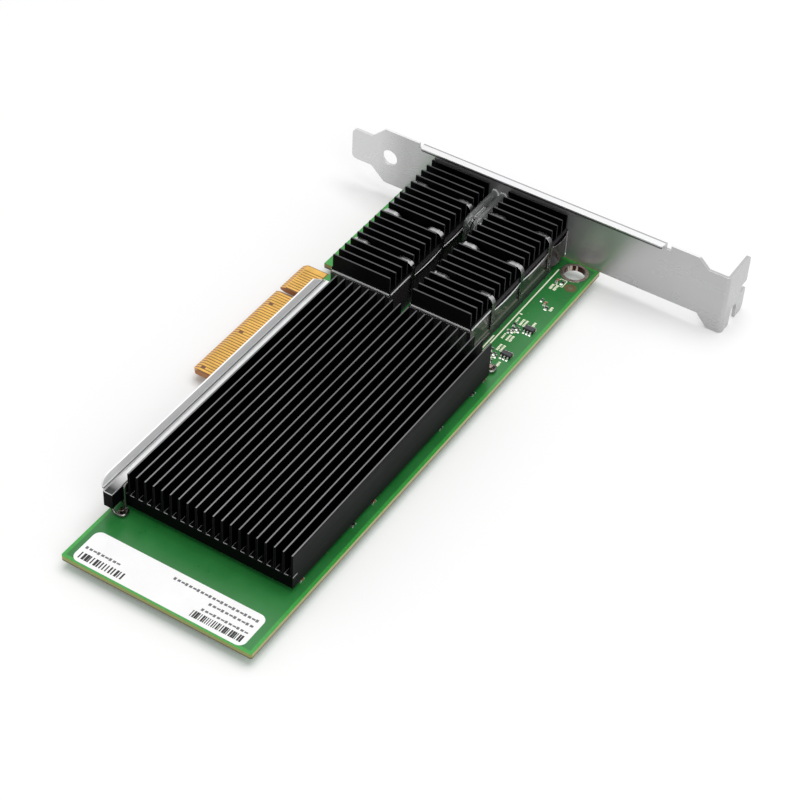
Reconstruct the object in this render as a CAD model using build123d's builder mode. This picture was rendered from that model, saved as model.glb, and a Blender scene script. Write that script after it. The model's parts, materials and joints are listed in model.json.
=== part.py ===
from build123d import *
import os

# Dual-port server network card, lying flat with its component side up.
# +X runs along the card to the bracket, +Y points to the edge connector, +Z is up.
# The origin is under the middle of the whole card, at the level of its lowest point.

# Circuit board
board_length = 167.65
board_height = 68.90
board_thickness = 1.57
board_corner_radius = 0.6
body_setback = 13.60
datum_setback = 8.25
lip_setback = 4.40
tab_start = 71.35
long_tab_length = 38.65
key_width = 1.90
key_depth = 7.90
short_tab_length = 11.65
lip_gap = 3.30
bevel_length = 1.30
bevel_depth = 0.45
tab_corner = 0.90

# Edge contacts
contact_pitch = 1.00
contact_width = 0.70
contact_thickness = 0.05
contact_edge = 0.825
contact_length = 6.40
presence_shortfall = 1.60
presence_contact_counts = (5, 19, 36)

# Mounting hole by the bracket, with its plated barrel
hole_to_bracket_edge = 4.60
hole_to_far_edge = 5.50
hole_radius = 3.15
ring_barrel = 0.30
ring_flange_width = 0.60
ring_flange_thickness = 0.12

# Bracket
bracket_length = 120.02
bracket_width = 18.42
sheet = 0.86
bracket_gap = 0.28
plate_below_board_top = 0.35
tip_setback = 13.45
tongue_width = 10.19
tongue_length = 6.60
tongue_shoulder = 4.50
tongue_corner = 1.60
tab_corner_radius = 2.00
tongue_hole_radius = 2.50
tongue_hole_inset = 12.70
fold_drop = 4.20
fold_width = 19.30
fold_radius = 1.20
top_step_start = 9.60
top_step_end = 6.40
bottom_step_start = 7.90
bottom_step_end = 4.40
fold_tab_depth = 13.20
slot_width = 3.90
slot_inset = 6.60
slot_depth = 5.80
tip_notch_width = 2.60
tip_notch_depth = 3.60
tip_notch_height = 8.90
flange_depth = 2.30
flange_rise = 0.45
flange_bend = 1.05
flange_corner = 0.90
flange_start = 23.85
flange_length = 76.60
relief_width = 1.60
relief_depth = 1.70
ear_length = 8.40
ear_width = 5.60
ear_inset = 1.10
ear_screw_inset = 4.60

# Ear screw
screw_radius = 1.50
screw_head_radius = 2.60
screw_head_height = 1.50
screw_clearance = 0.15
screw_tail = 1.20
screw_head_bevel = 0.80
recess_width = 0.57
recess_depth = 0.90
nut_play = 0.02
nut_width = 5.50
nut_height = 1.80

# Port cages
port_pitch = 25.00
first_port_setback = 23.05
cage_width = 18.90
cage_height = 9.40
cage_sheet = 0.25
cage_floor_lift = 0.40
cage_corner = 0.60
cage_rear_gap = 51.85
cage_nose = 1.40
cage_window_clearance = 0.30
sink_window_length = 33.00
sink_window_width = 13.00
sink_window_rear = 13.50
sink_window_corner = 1.00
rear_opening_length = 12.00
latch_length = 2.40
latch_height = 1.10
latch_level = 4.30
latch_tab_length = 0.70
latch_stand = 0.25
cage_pin_width = 0.70
cage_pin_length = 2.60
cage_pin_rows = (3.0, 15.5, 28.0, 40.5)
pin_hole_radius = 0.50
pin_hole_sides = 8

# Port connectors
connector_length = 9.60
connector_width = 16.40
connector_height = 7.20
connector_step = 1.20
connector_gap = 0.30
slot_mouth_width = 13.40
slot_mouth_height = 2.00
slot_mouth_depth = 6.50
slot_mouth_level = 3.60

# Port heat sinks
port_base_height = 1.00
port_sink_height = 5.55
port_sink_inset = 0.10
rear_fin_inset = 0.35
port_fin_thickness = 0.42
port_fin_pitch = 2.855
port_fin_counts = (4, 5, 5, 4)
clip_slots = (3.25, 4.40, 3.30)
port_sink_front_gap = 0.52
port_pedestal_depth = 0.55
port_pedestal_clearance = 0.30
fin_nick = 0.15

# Port clips
clip_sheet = 0.35
arm_width = 1.50
arm_forward = 0.30
arm_seat_reach = 2.60
arm_rise_reach = 5.00
arm_height = 2.90
arm_seat_radius = 1.50
arm_crest_radius = 2.60
arm_corner_radius = 2.00
arm_seat_gap = 0.05
clip_side_gap = 0.10
leg_foot_level = 2.70
leg_window_clearance = 0.20
rail_height = 1.20
rail_level = 7.55
rail_bow = 0.20
rail_overlap = 0.20

# Contact collars
collar_sheet = 0.18
collar_gap = 0.06
collar_length = 8.90
collar_band = 1.00
collar_top_gap = 0.35
collar_side_lift = 2.10
wing_bow = 0.85
collar_front_gap = 0.30

# Light pipe and its lights
pipe_radius = 1.05
pipe_spacing = 2.60
pipe_level = 12.00
pipe_rear = 15.50
pipe_bend = 2.40
pipe_foot_gap = 0.10
pipe_hole_clearance = 0.15
pipe_web = 0.90
pipe_web_length = 5.00
pipe_peg_radius = 0.60
led_length = 1.60
led_width = 1.20
led_height = 0.70

# Main heat sink
sink_width = 52.35
sink_end_gap = 21.10
sink_cage_gap = 4.00
sink_lift = 1.50
sink_base = 3.70
sink_height = 11.00
fin_count = 20
fin_pitch = 2.50
fin_thickness = 0.55
fin_top_chamfer = 0.10
ledge_width = 3.70
ledge_height = 6.45
ledge_reach = 4.20
ledge_reach_width = 2.60
ledge_reach_height = 2.40

# Rail along the main heat sink
rail_sheet = 0.40
rail_overhang = 4.60
rail_end_overhang = 0.85
rail_wall = 4.10
rail_jog = 0.30
rail_jog_height = 1.05
rail_foot_width = 3.00
rail_fillet = 0.28
rail_near_radius = 2.40
rail_far_slope = 6.00

# Corner posts and springs of the main heat sink
post_radius = 0.65
post_height = 1.50
post_flange_radius = 1.10
post_flange_height = 0.35
spring_wire = 0.38
spring_wire_sides = 6
spring_loop = 1.33
spring_clearance = 0.05
spring_tail = 2.40
spring_tail_height = 2.60
spring_bends = (0.60, 0.95, 0.95, 0.45, 0.60)
near_post_reach = 1.90
near_post_inset = 3.60
near_hook_reach = 2.60
far_post_reach = 3.40
far_hook_reach = 2.60
far_spring_height = 8.00

# Controller under the main heat sink
package_size = 25.00
package_height = 0.80
package_from_body = 26.00
package_from_sink_end = 43.00
spreader_size = 18.00
spreader_height = 0.50
pad_size = 17.00
stack_corner = 0.50

# Low parts under the main heat sink, placed from the middle of the package
flash_size = (6.00, 5.00, 1.20)
flash_places = ((22.00, 8.00),)
oscillator_size = (3.20, 2.50, 0.90)
oscillator_places = ((20.00, -9.00),)
inductor_size = (4.20, 4.20, 1.25)
inductor_places = ((-22.00, 14.00), (-22.00, 7.00), (-22.00, -7.00), (-22.00, -14.00))
hidden_chamfer = 0.20
decoupling_count = 8

# Small parts
label_inset = 0.55
label_length = 10.90
label_width = 49.80
label_side_inset = 2.40
label_thickness = 0.10
label_corner = 2.00
ic_length = 1.65
ic_width = 3.00
ic_height = 1.05
ic_lift = 0.10
ic_chamfer = 0.15
ic_from_far_edge = 3.70
ic_places = (32.95, 45.20)
lead_pitch = 0.95
lead_width = 0.42
lead_length = 0.70
lead_thickness = 0.18
lead_level = 0.50
lead_count = 3
chip_length = 1.25
chip_width = 0.70
chip_height = 0.60
resistor_height = 0.40
capacitor_places = (
    (10.40, 7.60), (20.90, 5.60), (56.75, 3.80), (65.05, 4.30), (110.65, 3.50),
)
near_capacitor_places = ((25.70, 3.60),)
resistor_places = (
    (10.35, 6.10), (22.25, 4.50), (33.05, 8.15), (34.75, 7.60), (45.25, 8.15), (46.95, 7.60),
    (63.00, 3.40), (78.80, 3.70), (120.00, 3.30),
)
fiducial_radius = 0.70
fiducial_thickness = 0.05
fiducial_from_ring = 6.30
fiducial_from_far_edge = 3.30

# Places worked out from the sizes above
overall_length = board_length + bracket_gap + fold_tab_depth
near_x = -overall_length / 2
bracket_edge_x = near_x + board_length
bracket_x = bracket_edge_x + bracket_gap
bracket_out_x = bracket_x + sheet
tab_x = near_x + tab_start
key_x = tab_x + long_tab_length
short_tab_x = key_x + key_width
tab_end_x = short_tab_x + short_tab_length
lip_x = tab_end_x + lip_gap

tongue_tip_y = bracket_length / 2
fold_y = -bracket_length / 2
finger_tip_y = tongue_tip_y - tip_setback
body_y = finger_tip_y - body_setback
datum_y = finger_tip_y - datum_setback
lip_y = finger_tip_y - lip_setback
far_y = finger_tip_y - board_height

board_top = fold_drop
board_bottom = board_top - board_thickness
plate_bottom = board_top - plate_below_board_top
plate_top = plate_bottom + bracket_width
plate_middle = (plate_bottom + plate_top) / 2

first_port_y = finger_tip_y - first_port_setback
port_ys = (first_port_y, first_port_y - port_pitch)
gap_y = first_port_y - port_pitch / 2
cage_x = bracket_edge_x - cage_rear_gap
nose_x = bracket_out_x + cage_nose
cage_top = board_top + cage_height
cage_floor = board_top + cage_floor_lift
cage_half = cage_width / 2

os.makedirs("parts", exist_ok=True)


def save(piece, name):
    """Label a finished piece and write it under its node name."""
    piece.label = name
    export_step(piece, f"parts/{name}.step")


# Edge contact places, counted from the key slot towards each end of the tab
long_count = int((long_tab_length - 2 * contact_edge) / contact_pitch) + 1
short_count = int((short_tab_length - 2 * contact_edge) / contact_pitch) + 1
long_contacts = [key_x - contact_edge - i * contact_pitch for i in range(long_count)]
short_contacts = [short_tab_x + contact_edge + i * contact_pitch for i in range(short_count)]
contact_tip_y = finger_tip_y - bevel_length

# Pin holes under the cages, and the holes of the mounting ring and the ear screw
ring_x = bracket_edge_x - hole_to_bracket_edge
ring_y = far_y + hole_to_far_edge
barrel_radius = hole_radius + ring_barrel
ring_flange_radius = barrel_radius + ring_flange_width
flange_low = board_bottom - ring_flange_thickness
flange_high = board_top + ring_flange_thickness
ear_y = lip_y - ear_inset - ear_width / 2
ear_screw_x = bracket_x - ear_screw_inset
screw_hole_radius = screw_radius + screw_clearance
pin_wall_y = cage_half - cage_sheet / 2
pin_places = [
    (cage_x + row, port_y + side * pin_wall_y)
    for port_y in port_ys
    for row in cage_pin_rows
    for side in (-1, 1)
]

# Circuit board
with BuildPart() as circuit_board:
    with BuildSketch(Plane.XY.offset(board_bottom)):
        with BuildLine():
            Polyline(
                (near_x, far_y),
                (bracket_edge_x, far_y),
                (bracket_edge_x, lip_y),
                (lip_x, lip_y),
                (lip_x, datum_y),
                (tab_end_x, datum_y),
                (tab_end_x, finger_tip_y - tab_corner),
                (tab_end_x - tab_corner, finger_tip_y),
                (tab_x + tab_corner, finger_tip_y),
                (tab_x, finger_tip_y - tab_corner),
                (tab_x, body_y),
                (near_x, body_y),
                close=True,
            )
        make_face()
        with Locations(((key_x + short_tab_x) / 2, finger_tip_y)):
            SlotCenterToCenter(
                2 * key_depth - key_width, key_width, rotation=90, mode=Mode.SUBTRACT
            )
    extrude(amount=board_thickness)
    board_corners = circuit_board.edges().filter_by(Axis.Z).group_by(Axis.X)
    fillet(board_corners[0], board_corner_radius)
    for level, way in ((board_top, -1), (board_bottom, 1)):
        with BuildSketch(Plane.YZ.offset(tab_x)):
            with BuildLine():
                Polyline(
                    (finger_tip_y - bevel_length, level),
                    (finger_tip_y, level),
                    (finger_tip_y, level + way * bevel_depth),
                    close=True,
                )
            make_face()
        extrude(amount=tab_end_x - tab_x, mode=Mode.SUBTRACT)
    with BuildSketch(Plane.XY.offset(board_bottom)):
        with Locations((ring_x, ring_y)):
            Circle(barrel_radius)
        with Locations((ear_screw_x, ear_y)):
            Circle(screw_hole_radius)
        with Locations(pin_places):
            RegularPolygon(pin_hole_radius, pin_hole_sides)
    extrude(amount=board_thickness, mode=Mode.SUBTRACT)
save(circuit_board.part, "circuit_board")

# Edge contacts: full length ones, then the short presence contacts
top_short = [long_contacts[i] for i in presence_contact_counts]
top_full = [x for x in long_contacts + short_contacts if x not in top_short]
bottom_short = short_contacts[-1:]
bottom_full = long_contacts + short_contacts[:-1]
contact_sides = (
    ("edge_contacts_top", board_top, contact_thickness, top_full, top_short),
    ("edge_contacts_bottom", board_bottom, -contact_thickness, bottom_full, bottom_short),
)
for contact_name, level, growth, full_places, short_places in contact_sides:
    with BuildPart() as contacts:
        with BuildSketch(Plane.XY.offset(level)):
            with Locations([(x, contact_tip_y) for x in full_places]):
                Rectangle(contact_width, contact_length, align=(Align.CENTER, Align.MAX))
            with Locations([(x, contact_tip_y - presence_shortfall) for x in short_places]):
                Rectangle(
                    contact_width,
                    contact_length - presence_shortfall,
                    align=(Align.CENTER, Align.MAX),
                )
        extrude(amount=growth)
    save(contacts.part, contact_name)

# Plated ring: a flanged barrel through the mounting hole
with BuildPart() as mounting_ring:
    with BuildSketch(Plane.XZ.offset(-ring_y)):
        with BuildLine():
            Polyline(
                (ring_x + hole_radius, flange_low),
                (ring_x + ring_flange_radius, flange_low),
                (ring_x + ring_flange_radius, board_bottom),
                (ring_x + barrel_radius, board_bottom),
                (ring_x + barrel_radius, board_top),
                (ring_x + ring_flange_radius, board_top),
                (ring_x + ring_flange_radius, flange_high),
                (ring_x + hole_radius, flange_high),
                close=True,
            )
        make_face()
    revolve(axis=Axis((ring_x, ring_y, 0), (0, 0, 1)))
save(mounting_ring.part, "mounting_ring")

# Bracket: folded plate with a tongue, an inward flange, an outward tab and an ear
tongue_low = plate_middle - tongue_width / 2
tongue_high = plate_middle + tongue_width / 2
tongue_root_y = tongue_tip_y - tongue_length
shoulder_y = tongue_root_y - tongue_shoulder
pipe_z = board_top + pipe_level
pipe_ys = (gap_y + pipe_spacing / 2, gap_y - pipe_spacing / 2)
flange_y = tongue_tip_y - flange_start
flange_top = plate_top + flange_rise
ear_top = board_top + sheet
with BuildPart() as mounting_bracket:
    with BuildSketch(Plane.YZ.offset(bracket_x)):
        with BuildLine():
            Polyline(
                (tongue_tip_y, tongue_low),
                (tongue_tip_y, tongue_high),
                (tongue_root_y, tongue_high),
                (shoulder_y, plate_top),
                (fold_y + top_step_start, plate_top),
                (fold_y + top_step_end, fold_width),
                (fold_y + fold_radius, fold_width),
                (fold_y + fold_radius, 0),
                (fold_y + bottom_step_end, 0),
                (fold_y + bottom_step_start, plate_bottom),
                (shoulder_y, plate_bottom),
                (tongue_root_y, tongue_low),
                close=True,
            )
        make_face()
        with Locations((tongue_tip_y - tongue_hole_inset, plate_middle)):
            Circle(tongue_hole_radius, mode=Mode.SUBTRACT)
        with Locations([(port_y, (cage_floor + cage_top) / 2) for port_y in port_ys]):
            RectangleRounded(
                cage_width + 2 * cage_window_clearance,
                cage_height - cage_floor_lift + 2 * cage_window_clearance,
                cage_corner,
                mode=Mode.SUBTRACT,
            )
        with Locations([(pipe_y, pipe_z) for pipe_y in pipe_ys]):
            Circle(pipe_radius + pipe_hole_clearance, mode=Mode.SUBTRACT)
    extrude(amount=sheet)
    tongue_corners = mounting_bracket.edges().filter_by(Axis.X).group_by(Axis.Y)[-1]
    fillet(tongue_corners, tongue_corner)
    with BuildSketch(Plane.XY):
        with BuildLine():
            RadiusArc(
                (bracket_x, fold_y + fold_radius), (bracket_x + fold_radius, fold_y), -fold_radius
            )
            Line((bracket_x + fold_radius, fold_y), (bracket_x + fold_tab_depth, fold_y))
            Line((bracket_x + fold_tab_depth, fold_y), (bracket_x + fold_tab_depth, fold_y + sheet))
            Line((bracket_x + fold_tab_depth, fold_y + sheet), (bracket_x + fold_radius, fold_y + sheet))
            RadiusArc(
                (bracket_x + fold_radius, fold_y + sheet),
                (bracket_out_x, fold_y + fold_radius),
                fold_radius - sheet,
            )
            Line((bracket_out_x, fold_y + fold_radius), (bracket_x, fold_y + fold_radius))
        make_face()
    extrude(amount=fold_width)
    with BuildSketch(Plane.XZ.offset(-fold_y)):
        with BuildLine():
            slot_x = bracket_x + slot_inset
            Line((slot_x - slot_width / 2, 0), (slot_x - slot_width / 2, slot_depth - slot_width / 2))
            ThreePointArc(
                (slot_x - slot_width / 2, slot_depth - slot_width / 2),
                (slot_x, slot_depth),
                (slot_x + slot_width / 2, slot_depth - slot_width / 2),
            )
            Line((slot_x + slot_width / 2, slot_depth - slot_width / 2), (slot_x + slot_width / 2, 0))
            Line((slot_x + slot_width / 2, 0), (slot_x - slot_width / 2, 0))
        make_face()
        with Locations((bracket_x + fold_tab_depth, tip_notch_height)):
            SlotCenterToCenter(2 * tip_notch_depth - tip_notch_width, tip_notch_width)
    extrude(amount=-sheet, mode=Mode.SUBTRACT)
    tab_corners = mounting_bracket.edges().filter_by(Axis.Y).group_by(Axis.X)[-1].sort_by(Axis.Z)
    fillet([tab_corners[0], tab_corners[-1]], tab_corner_radius)
    with BuildSketch(Plane.XZ.offset(-flange_y)):
        with BuildLine():
            Polyline(
                (bracket_x - flange_depth, flange_top - sheet),
                (bracket_x, flange_top - sheet),
                (bracket_x, plate_top - flange_bend),
                (bracket_out_x, plate_top - flange_bend),
                (bracket_out_x, flange_top),
                (bracket_x - flange_depth, flange_top),
                close=True,
            )
        make_face()
    extrude(amount=flange_length)
    flange_edges = mounting_bracket.edges().filter_by(Axis.Y).group_by(Axis.Z)[-1]
    fillet(flange_edges.sort_by(Axis.X)[-1], flange_bend)
    flange_corners = mounting_bracket.edges().filter_by(Axis.Z).group_by(Axis.X)[0]
    fillet(flange_corners, flange_corner)
    with BuildSketch(Plane.YZ.offset(bracket_x)):
        relief_ys = (flange_y + relief_width / 2, flange_y - flange_length - relief_width / 2)
        with Locations([(y, plate_top) for y in relief_ys]):
            Rectangle(relief_width, 2 * relief_depth)
    extrude(amount=sheet, mode=Mode.SUBTRACT)
    with BuildSketch(Plane.XY.offset(board_top)):
        with Locations((bracket_x, ear_y)):
            Rectangle(ear_length, ear_width, align=(Align.MAX, Align.CENTER))
        with Locations((ear_screw_x, ear_y)):
            Circle(screw_hole_radius, mode=Mode.SUBTRACT)
    extrude(amount=sheet)
save(mounting_bracket.part, "mounting_bracket")

# Ear screw with a cross recess, and the nut under the board
with BuildPart() as ear_screw:
    with BuildSketch(Plane.XY.offset(ear_top)):
        with Locations((ear_screw_x, ear_y)):
            Circle(screw_head_radius)
    extrude(amount=screw_head_height)
    chamfer(ear_screw.edges().group_by(Axis.Z)[-1], screw_head_bevel)
    with BuildSketch(Plane.XY.offset(ear_top)):
        with Locations((ear_screw_x, ear_y)):
            Circle(screw_radius)
    extrude(amount=-(sheet + board_thickness + screw_tail))
    with BuildSketch(Plane.XY.offset(ear_top + screw_head_height)):
        with Locations((ear_screw_x, ear_y)):
            Rectangle(screw_head_radius, recess_width)
            Rectangle(recess_width, screw_head_radius)
    extrude(amount=-recess_depth, mode=Mode.SUBTRACT)
save(ear_screw.part, "ear_screw")

with BuildPart() as ear_nut:
    with BuildSketch(Plane.XY.offset(board_bottom)):
        with Locations((ear_screw_x, ear_y)):
            RegularPolygon(nut_width / 2, 6, major_radius=False)
            Circle(screw_radius + nut_play, mode=Mode.SUBTRACT)
    extrude(amount=-nut_height)
save(ear_nut.part, "ear_nut")

# Fins of a port heat sink run back from the bracket in groups, with a clip arm in each slot
fin_places = []
arm_places = []
group_x = bracket_x - port_sink_front_gap - port_fin_thickness / 2
for count, slot in zip(port_fin_counts, clip_slots + (0,)):
    fin_places += [group_x - i * port_fin_pitch for i in range(count)]
    arm_places.append(fin_places[-1] - slot / 2 + arm_forward)
    group_x = fin_places[-1] - slot
arm_places.pop()
front_fins = fin_places[: port_fin_counts[0]]
rear_fins = fin_places[port_fin_counts[0] :]
port_sink_x = fin_places[-1] - port_fin_thickness / 2
port_sink_front = fin_places[0] + port_fin_thickness / 2
port_sink_width = cage_width - 2 * port_sink_inset
port_base_top = cage_top + port_base_height
port_fin_top = cage_top + port_sink_height
sink_window_x = cage_x + sink_window_rear + sink_window_length / 2
clip_inner = cage_half + clip_side_gap
clip_outer = clip_inner + clip_sheet
leg_y = (clip_inner + clip_outer) / 2
arm_seat_z = port_base_top + arm_seat_gap + clip_sheet / 2
arm_top_z = arm_seat_z + arm_height
arm_radii = (arm_corner_radius, arm_crest_radius, arm_seat_radius)
latch_low = board_top + latch_level
latch_reach = cage_sheet + clip_side_gap + clip_sheet + latch_stand
connector_x = cage_x + cage_sheet + connector_gap
collar_x = bracket_x - collar_front_gap - collar_length
collar_inner = cage_half + collar_gap
collar_outer = collar_inner + collar_sheet
collar_height = cage_height - collar_top_gap
skirt_length = collar_x - collar_front_gap - cage_x

for number, port_y in enumerate(port_ys, start=1):
    # Cage: folded tube with a raised floor, open at the bracket, on pinned skirts
    with BuildPart() as cage:
        with BuildSketch(Plane.YZ.offset(cage_x)):
            with Locations((port_y, (cage_floor + cage_top) / 2)):
                RectangleRounded(cage_width, cage_top - cage_floor, cage_corner)
                Rectangle(
                    cage_width - 2 * cage_sheet,
                    cage_top - cage_floor - 2 * cage_sheet,
                    mode=Mode.SUBTRACT,
                )
        extrude(amount=nose_x - cage_x)
        with BuildSketch(Plane.YZ.offset(cage_x)):
            with Locations((port_y, board_top)):
                Rectangle(
                    cage_width,
                    cage_height - cage_corner,
                    align=(Align.CENTER, Align.MIN),
                )
        extrude(amount=cage_sheet)
        with BuildSketch(Plane.XZ.offset(-(port_y + cage_half))):
            with Locations((cage_x, board_top)):
                Rectangle(
                    skirt_length, cage_floor_lift + cage_corner, align=(Align.MIN, Align.MIN)
                )
            with Locations([(cage_x + row, board_top) for row in cage_pin_rows]):
                Rectangle(cage_pin_width, cage_pin_length, align=(Align.CENTER, Align.MAX))
        skirt = extrude(amount=cage_sheet)
        mirror(skirt, about=Plane.XZ.offset(-port_y))
        with BuildSketch(Plane.XY.offset(cage_floor)):
            with Locations((cage_x + cage_sheet, port_y)):
                Rectangle(
                    rear_opening_length,
                    cage_width - 2 * cage_sheet,
                    align=(Align.MIN, Align.CENTER),
                )
        extrude(amount=cage_sheet, mode=Mode.SUBTRACT)
        with BuildSketch(Plane.XY.offset(cage_top)):
            with Locations((sink_window_x, port_y)):
                RectangleRounded(sink_window_length, sink_window_width, sink_window_corner)
        extrude(amount=-cage_sheet, mode=Mode.SUBTRACT)
        with BuildSketch(Plane.XZ.offset(-(port_y + cage_half))):
            with Locations([(x, latch_low) for x in arm_places]):
                Rectangle(latch_length, latch_height, align=(Align.CENTER, Align.MIN))
        extrude(amount=cage_width, mode=Mode.SUBTRACT)
        with BuildSketch(Plane.YZ.offset(arm_places[-1] - latch_tab_length / 2)):
            for side in (-1, 1):
                with Locations((port_y + side * (cage_half - cage_sheet), latch_low)):
                    Rectangle(
                        latch_reach,
                        cage_sheet,
                        align=(Align.MIN if side > 0 else Align.MAX, Align.MIN),
                    )
        tongue = extrude(amount=latch_tab_length)
        for x in arm_places[:-1]:
            add(tongue.moved(Location((x - arm_places[-1], 0, 0))))
    save(cage.part, f"port_{number}_cage")

    # Connector at the back of the cage, with the slot that takes a module's edge
    with BuildPart() as connector:
        with BuildSketch(Plane.XZ.offset(-(port_y + connector_width / 2))):
            with BuildLine():
                Polyline(
                    (connector_x, board_top),
                    (connector_x + connector_length, board_top),
                    (connector_x + connector_length, board_top + connector_height - connector_step),
                    (connector_x + connector_step, board_top + connector_height),
                    (connector_x, board_top + connector_height - connector_step),
                    close=True,
                )
            make_face()
        extrude(amount=connector_width)
        with BuildSketch(Plane.YZ.offset(connector_x + connector_length)):
            with Locations((port_y, board_top + slot_mouth_level)):
                RectangleRounded(slot_mouth_width, slot_mouth_height, slot_mouth_height / 4)
        extrude(amount=-slot_mouth_depth, mode=Mode.SUBTRACT)
    save(connector.part, f"port_{number}_connector")

    # Heat sink that rides on the cage, its pedestal reaching in through the window
    with BuildPart() as port_sink:
        with BuildSketch(Plane.XY.offset(cage_top)):
            with Locations((port_sink_x, port_y)):
                Rectangle(
                    port_sink_front - port_sink_x,
                    port_sink_width,
                    align=(Align.MIN, Align.CENTER),
                )
        extrude(amount=port_base_height)
        with BuildSketch(Plane.XY.offset(port_base_top)):
            with Locations([(x, port_y) for x in front_fins]):
                Rectangle(port_fin_thickness, port_sink_width)
            with Locations([(x, port_y) for x in rear_fins]):
                Rectangle(port_fin_thickness, port_sink_width - 2 * rear_fin_inset)
        extrude(amount=port_fin_top - port_base_top)
        fin_ends = port_sink.edges().filter_by(Axis.X).group_by(Axis.Z)[-1]
        chamfer(fin_ends, fin_nick)
        with BuildSketch(Plane.XY.offset(cage_top)):
            with Locations((sink_window_x, port_y)):
                RectangleRounded(
                    sink_window_length - 2 * port_pedestal_clearance,
                    sink_window_width - 2 * port_pedestal_clearance,
                    sink_window_corner,
                )
        extrude(amount=-port_pedestal_depth)
    save(port_sink.part, f"port_{number}_heat_sink")

    # Clip: bowed arms through the fin slots, legs down the cage, bowed side rails
    with BuildPart() as clip:
        for x in arm_places:
            with BuildSketch(Plane.YZ.offset(x - arm_width / 2)):
                with BuildLine():
                    FilletPolyline(
                        (port_y - leg_y, board_top + leg_foot_level),
                        (port_y - leg_y, arm_top_z),
                        (port_y - arm_rise_reach, arm_top_z),
                        (port_y - arm_seat_reach, arm_seat_z),
                        (port_y + arm_seat_reach, arm_seat_z),
                        (port_y + arm_rise_reach, arm_top_z),
                        (port_y + leg_y, arm_top_z),
                        (port_y + leg_y, board_top + leg_foot_level),
                        radius=[*arm_radii, *reversed(arm_radii)],
                    )
                trace(line_width=clip_sheet)
            extrude(amount=arm_width)
        with BuildSketch(Plane.XZ.offset(-(port_y + clip_outer))):
            with Locations([(x, latch_low - leg_window_clearance) for x in arm_places]):
                Rectangle(
                    latch_tab_length + 2 * leg_window_clearance,
                    cage_sheet + 2 * leg_window_clearance,
                    align=(Align.CENTER, Align.MIN),
                )
        extrude(amount=2 * clip_outer, mode=Mode.SUBTRACT)
        for bay in range(len(arm_places) - 1):
            for side in (-1, 1):
                near_y = port_y + side * clip_inner
                away_y = port_y + side * clip_outer
                start_x = arm_places[bay + 1] + arm_width / 2 - rail_overlap
                end_x = arm_places[bay] - arm_width / 2 + rail_overlap
                middle_x = (start_x + end_x) / 2
                with BuildSketch(Plane.XY.offset(board_top + rail_level)):
                    with BuildLine():
                        ThreePointArc(
                            (start_x, near_y), (middle_x, near_y + side * rail_bow), (end_x, near_y)
                        )
                        Line((end_x, near_y), (end_x, away_y))
                        ThreePointArc(
                            (end_x, away_y), (middle_x, away_y + side * rail_bow), (start_x, away_y)
                        )
                        Line((start_x, away_y), (start_x, near_y))
                    make_face()
                extrude(amount=rail_height)
    save(clip.part, f"port_{number}_clip")

    # Contact collar: a band under the cage, and a bowed spring wing up each side
    with BuildPart() as collar:
        with BuildSketch(Plane.YZ.offset(collar_x)):
            with Locations((port_y, board_top + collar_gap)):
                Rectangle(2 * collar_outer, collar_sheet, align=(Align.CENTER, Align.MIN))
            for side in (-1, 1):
                with Locations((port_y + side * collar_outer, board_top + collar_gap)):
                    Rectangle(
                        collar_sheet,
                        collar_height,
                        align=(Align.MAX if side > 0 else Align.MIN, Align.MIN),
                    )
        extrude(amount=collar_band)
        with BuildSketch(Plane.XY.offset(board_top + collar_side_lift)):
            for side in (-1, 1):
                inner_y = port_y + side * collar_inner
                outer_y = port_y + side * collar_outer
                with BuildLine():
                    ThreePointArc(
                        (collar_x, inner_y),
                        (collar_x + collar_length / 2, inner_y + side * wing_bow),
                        (collar_x + collar_length, inner_y),
                    )
                    Line((collar_x + collar_length, inner_y), (collar_x + collar_length, outer_y))
                    ThreePointArc(
                        (collar_x + collar_length, outer_y),
                        (collar_x + collar_length / 2, outer_y + side * wing_bow),
                        (collar_x, outer_y),
                    )
                    Line((collar_x, outer_y), (collar_x, inner_y))
                make_face()
        extrude(amount=collar_gap + collar_height - collar_side_lift)
    save(collar.part, f"port_{number}_collar")

# Status lights on the board, and the clear pipe that carries them to the bracket
pipe_x = bracket_x - pipe_rear
led_top = board_top + led_height
with BuildPart() as status_lights:
    with BuildSketch(Plane.XY.offset(board_top)):
        with Locations([(pipe_x, pipe_y) for pipe_y in pipe_ys]):
            Rectangle(led_length, led_width)
    extrude(amount=led_height)
save(status_lights.part, "status_lights")

with BuildPart() as light_pipe:
    for pipe_y in pipe_ys:
        with BuildLine():
            FilletPolyline(
                (pipe_x, pipe_y, led_top + pipe_foot_gap),
                (pipe_x, pipe_y, pipe_z),
                (bracket_out_x, pipe_y, pipe_z),
                radius=pipe_bend,
            )
        with BuildSketch(Plane.XY.offset(led_top + pipe_foot_gap)):
            with Locations((pipe_x, pipe_y)):
                Circle(pipe_radius)
        sweep()
    with BuildSketch(Plane.XY.offset(pipe_z - pipe_web / 2)):
        with Locations((pipe_x + pipe_bend, gap_y)):
            Rectangle(pipe_web_length, pipe_spacing, align=(Align.MIN, Align.CENTER))
    extrude(amount=pipe_web)
    with BuildSketch(Plane.XY.offset(board_top)):
        with Locations((pipe_x + pipe_bend + pipe_web_length / 2, gap_y)):
            Circle(pipe_peg_radius)
    extrude(amount=pipe_level)
save(light_pipe.part, "light_pipe")

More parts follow.
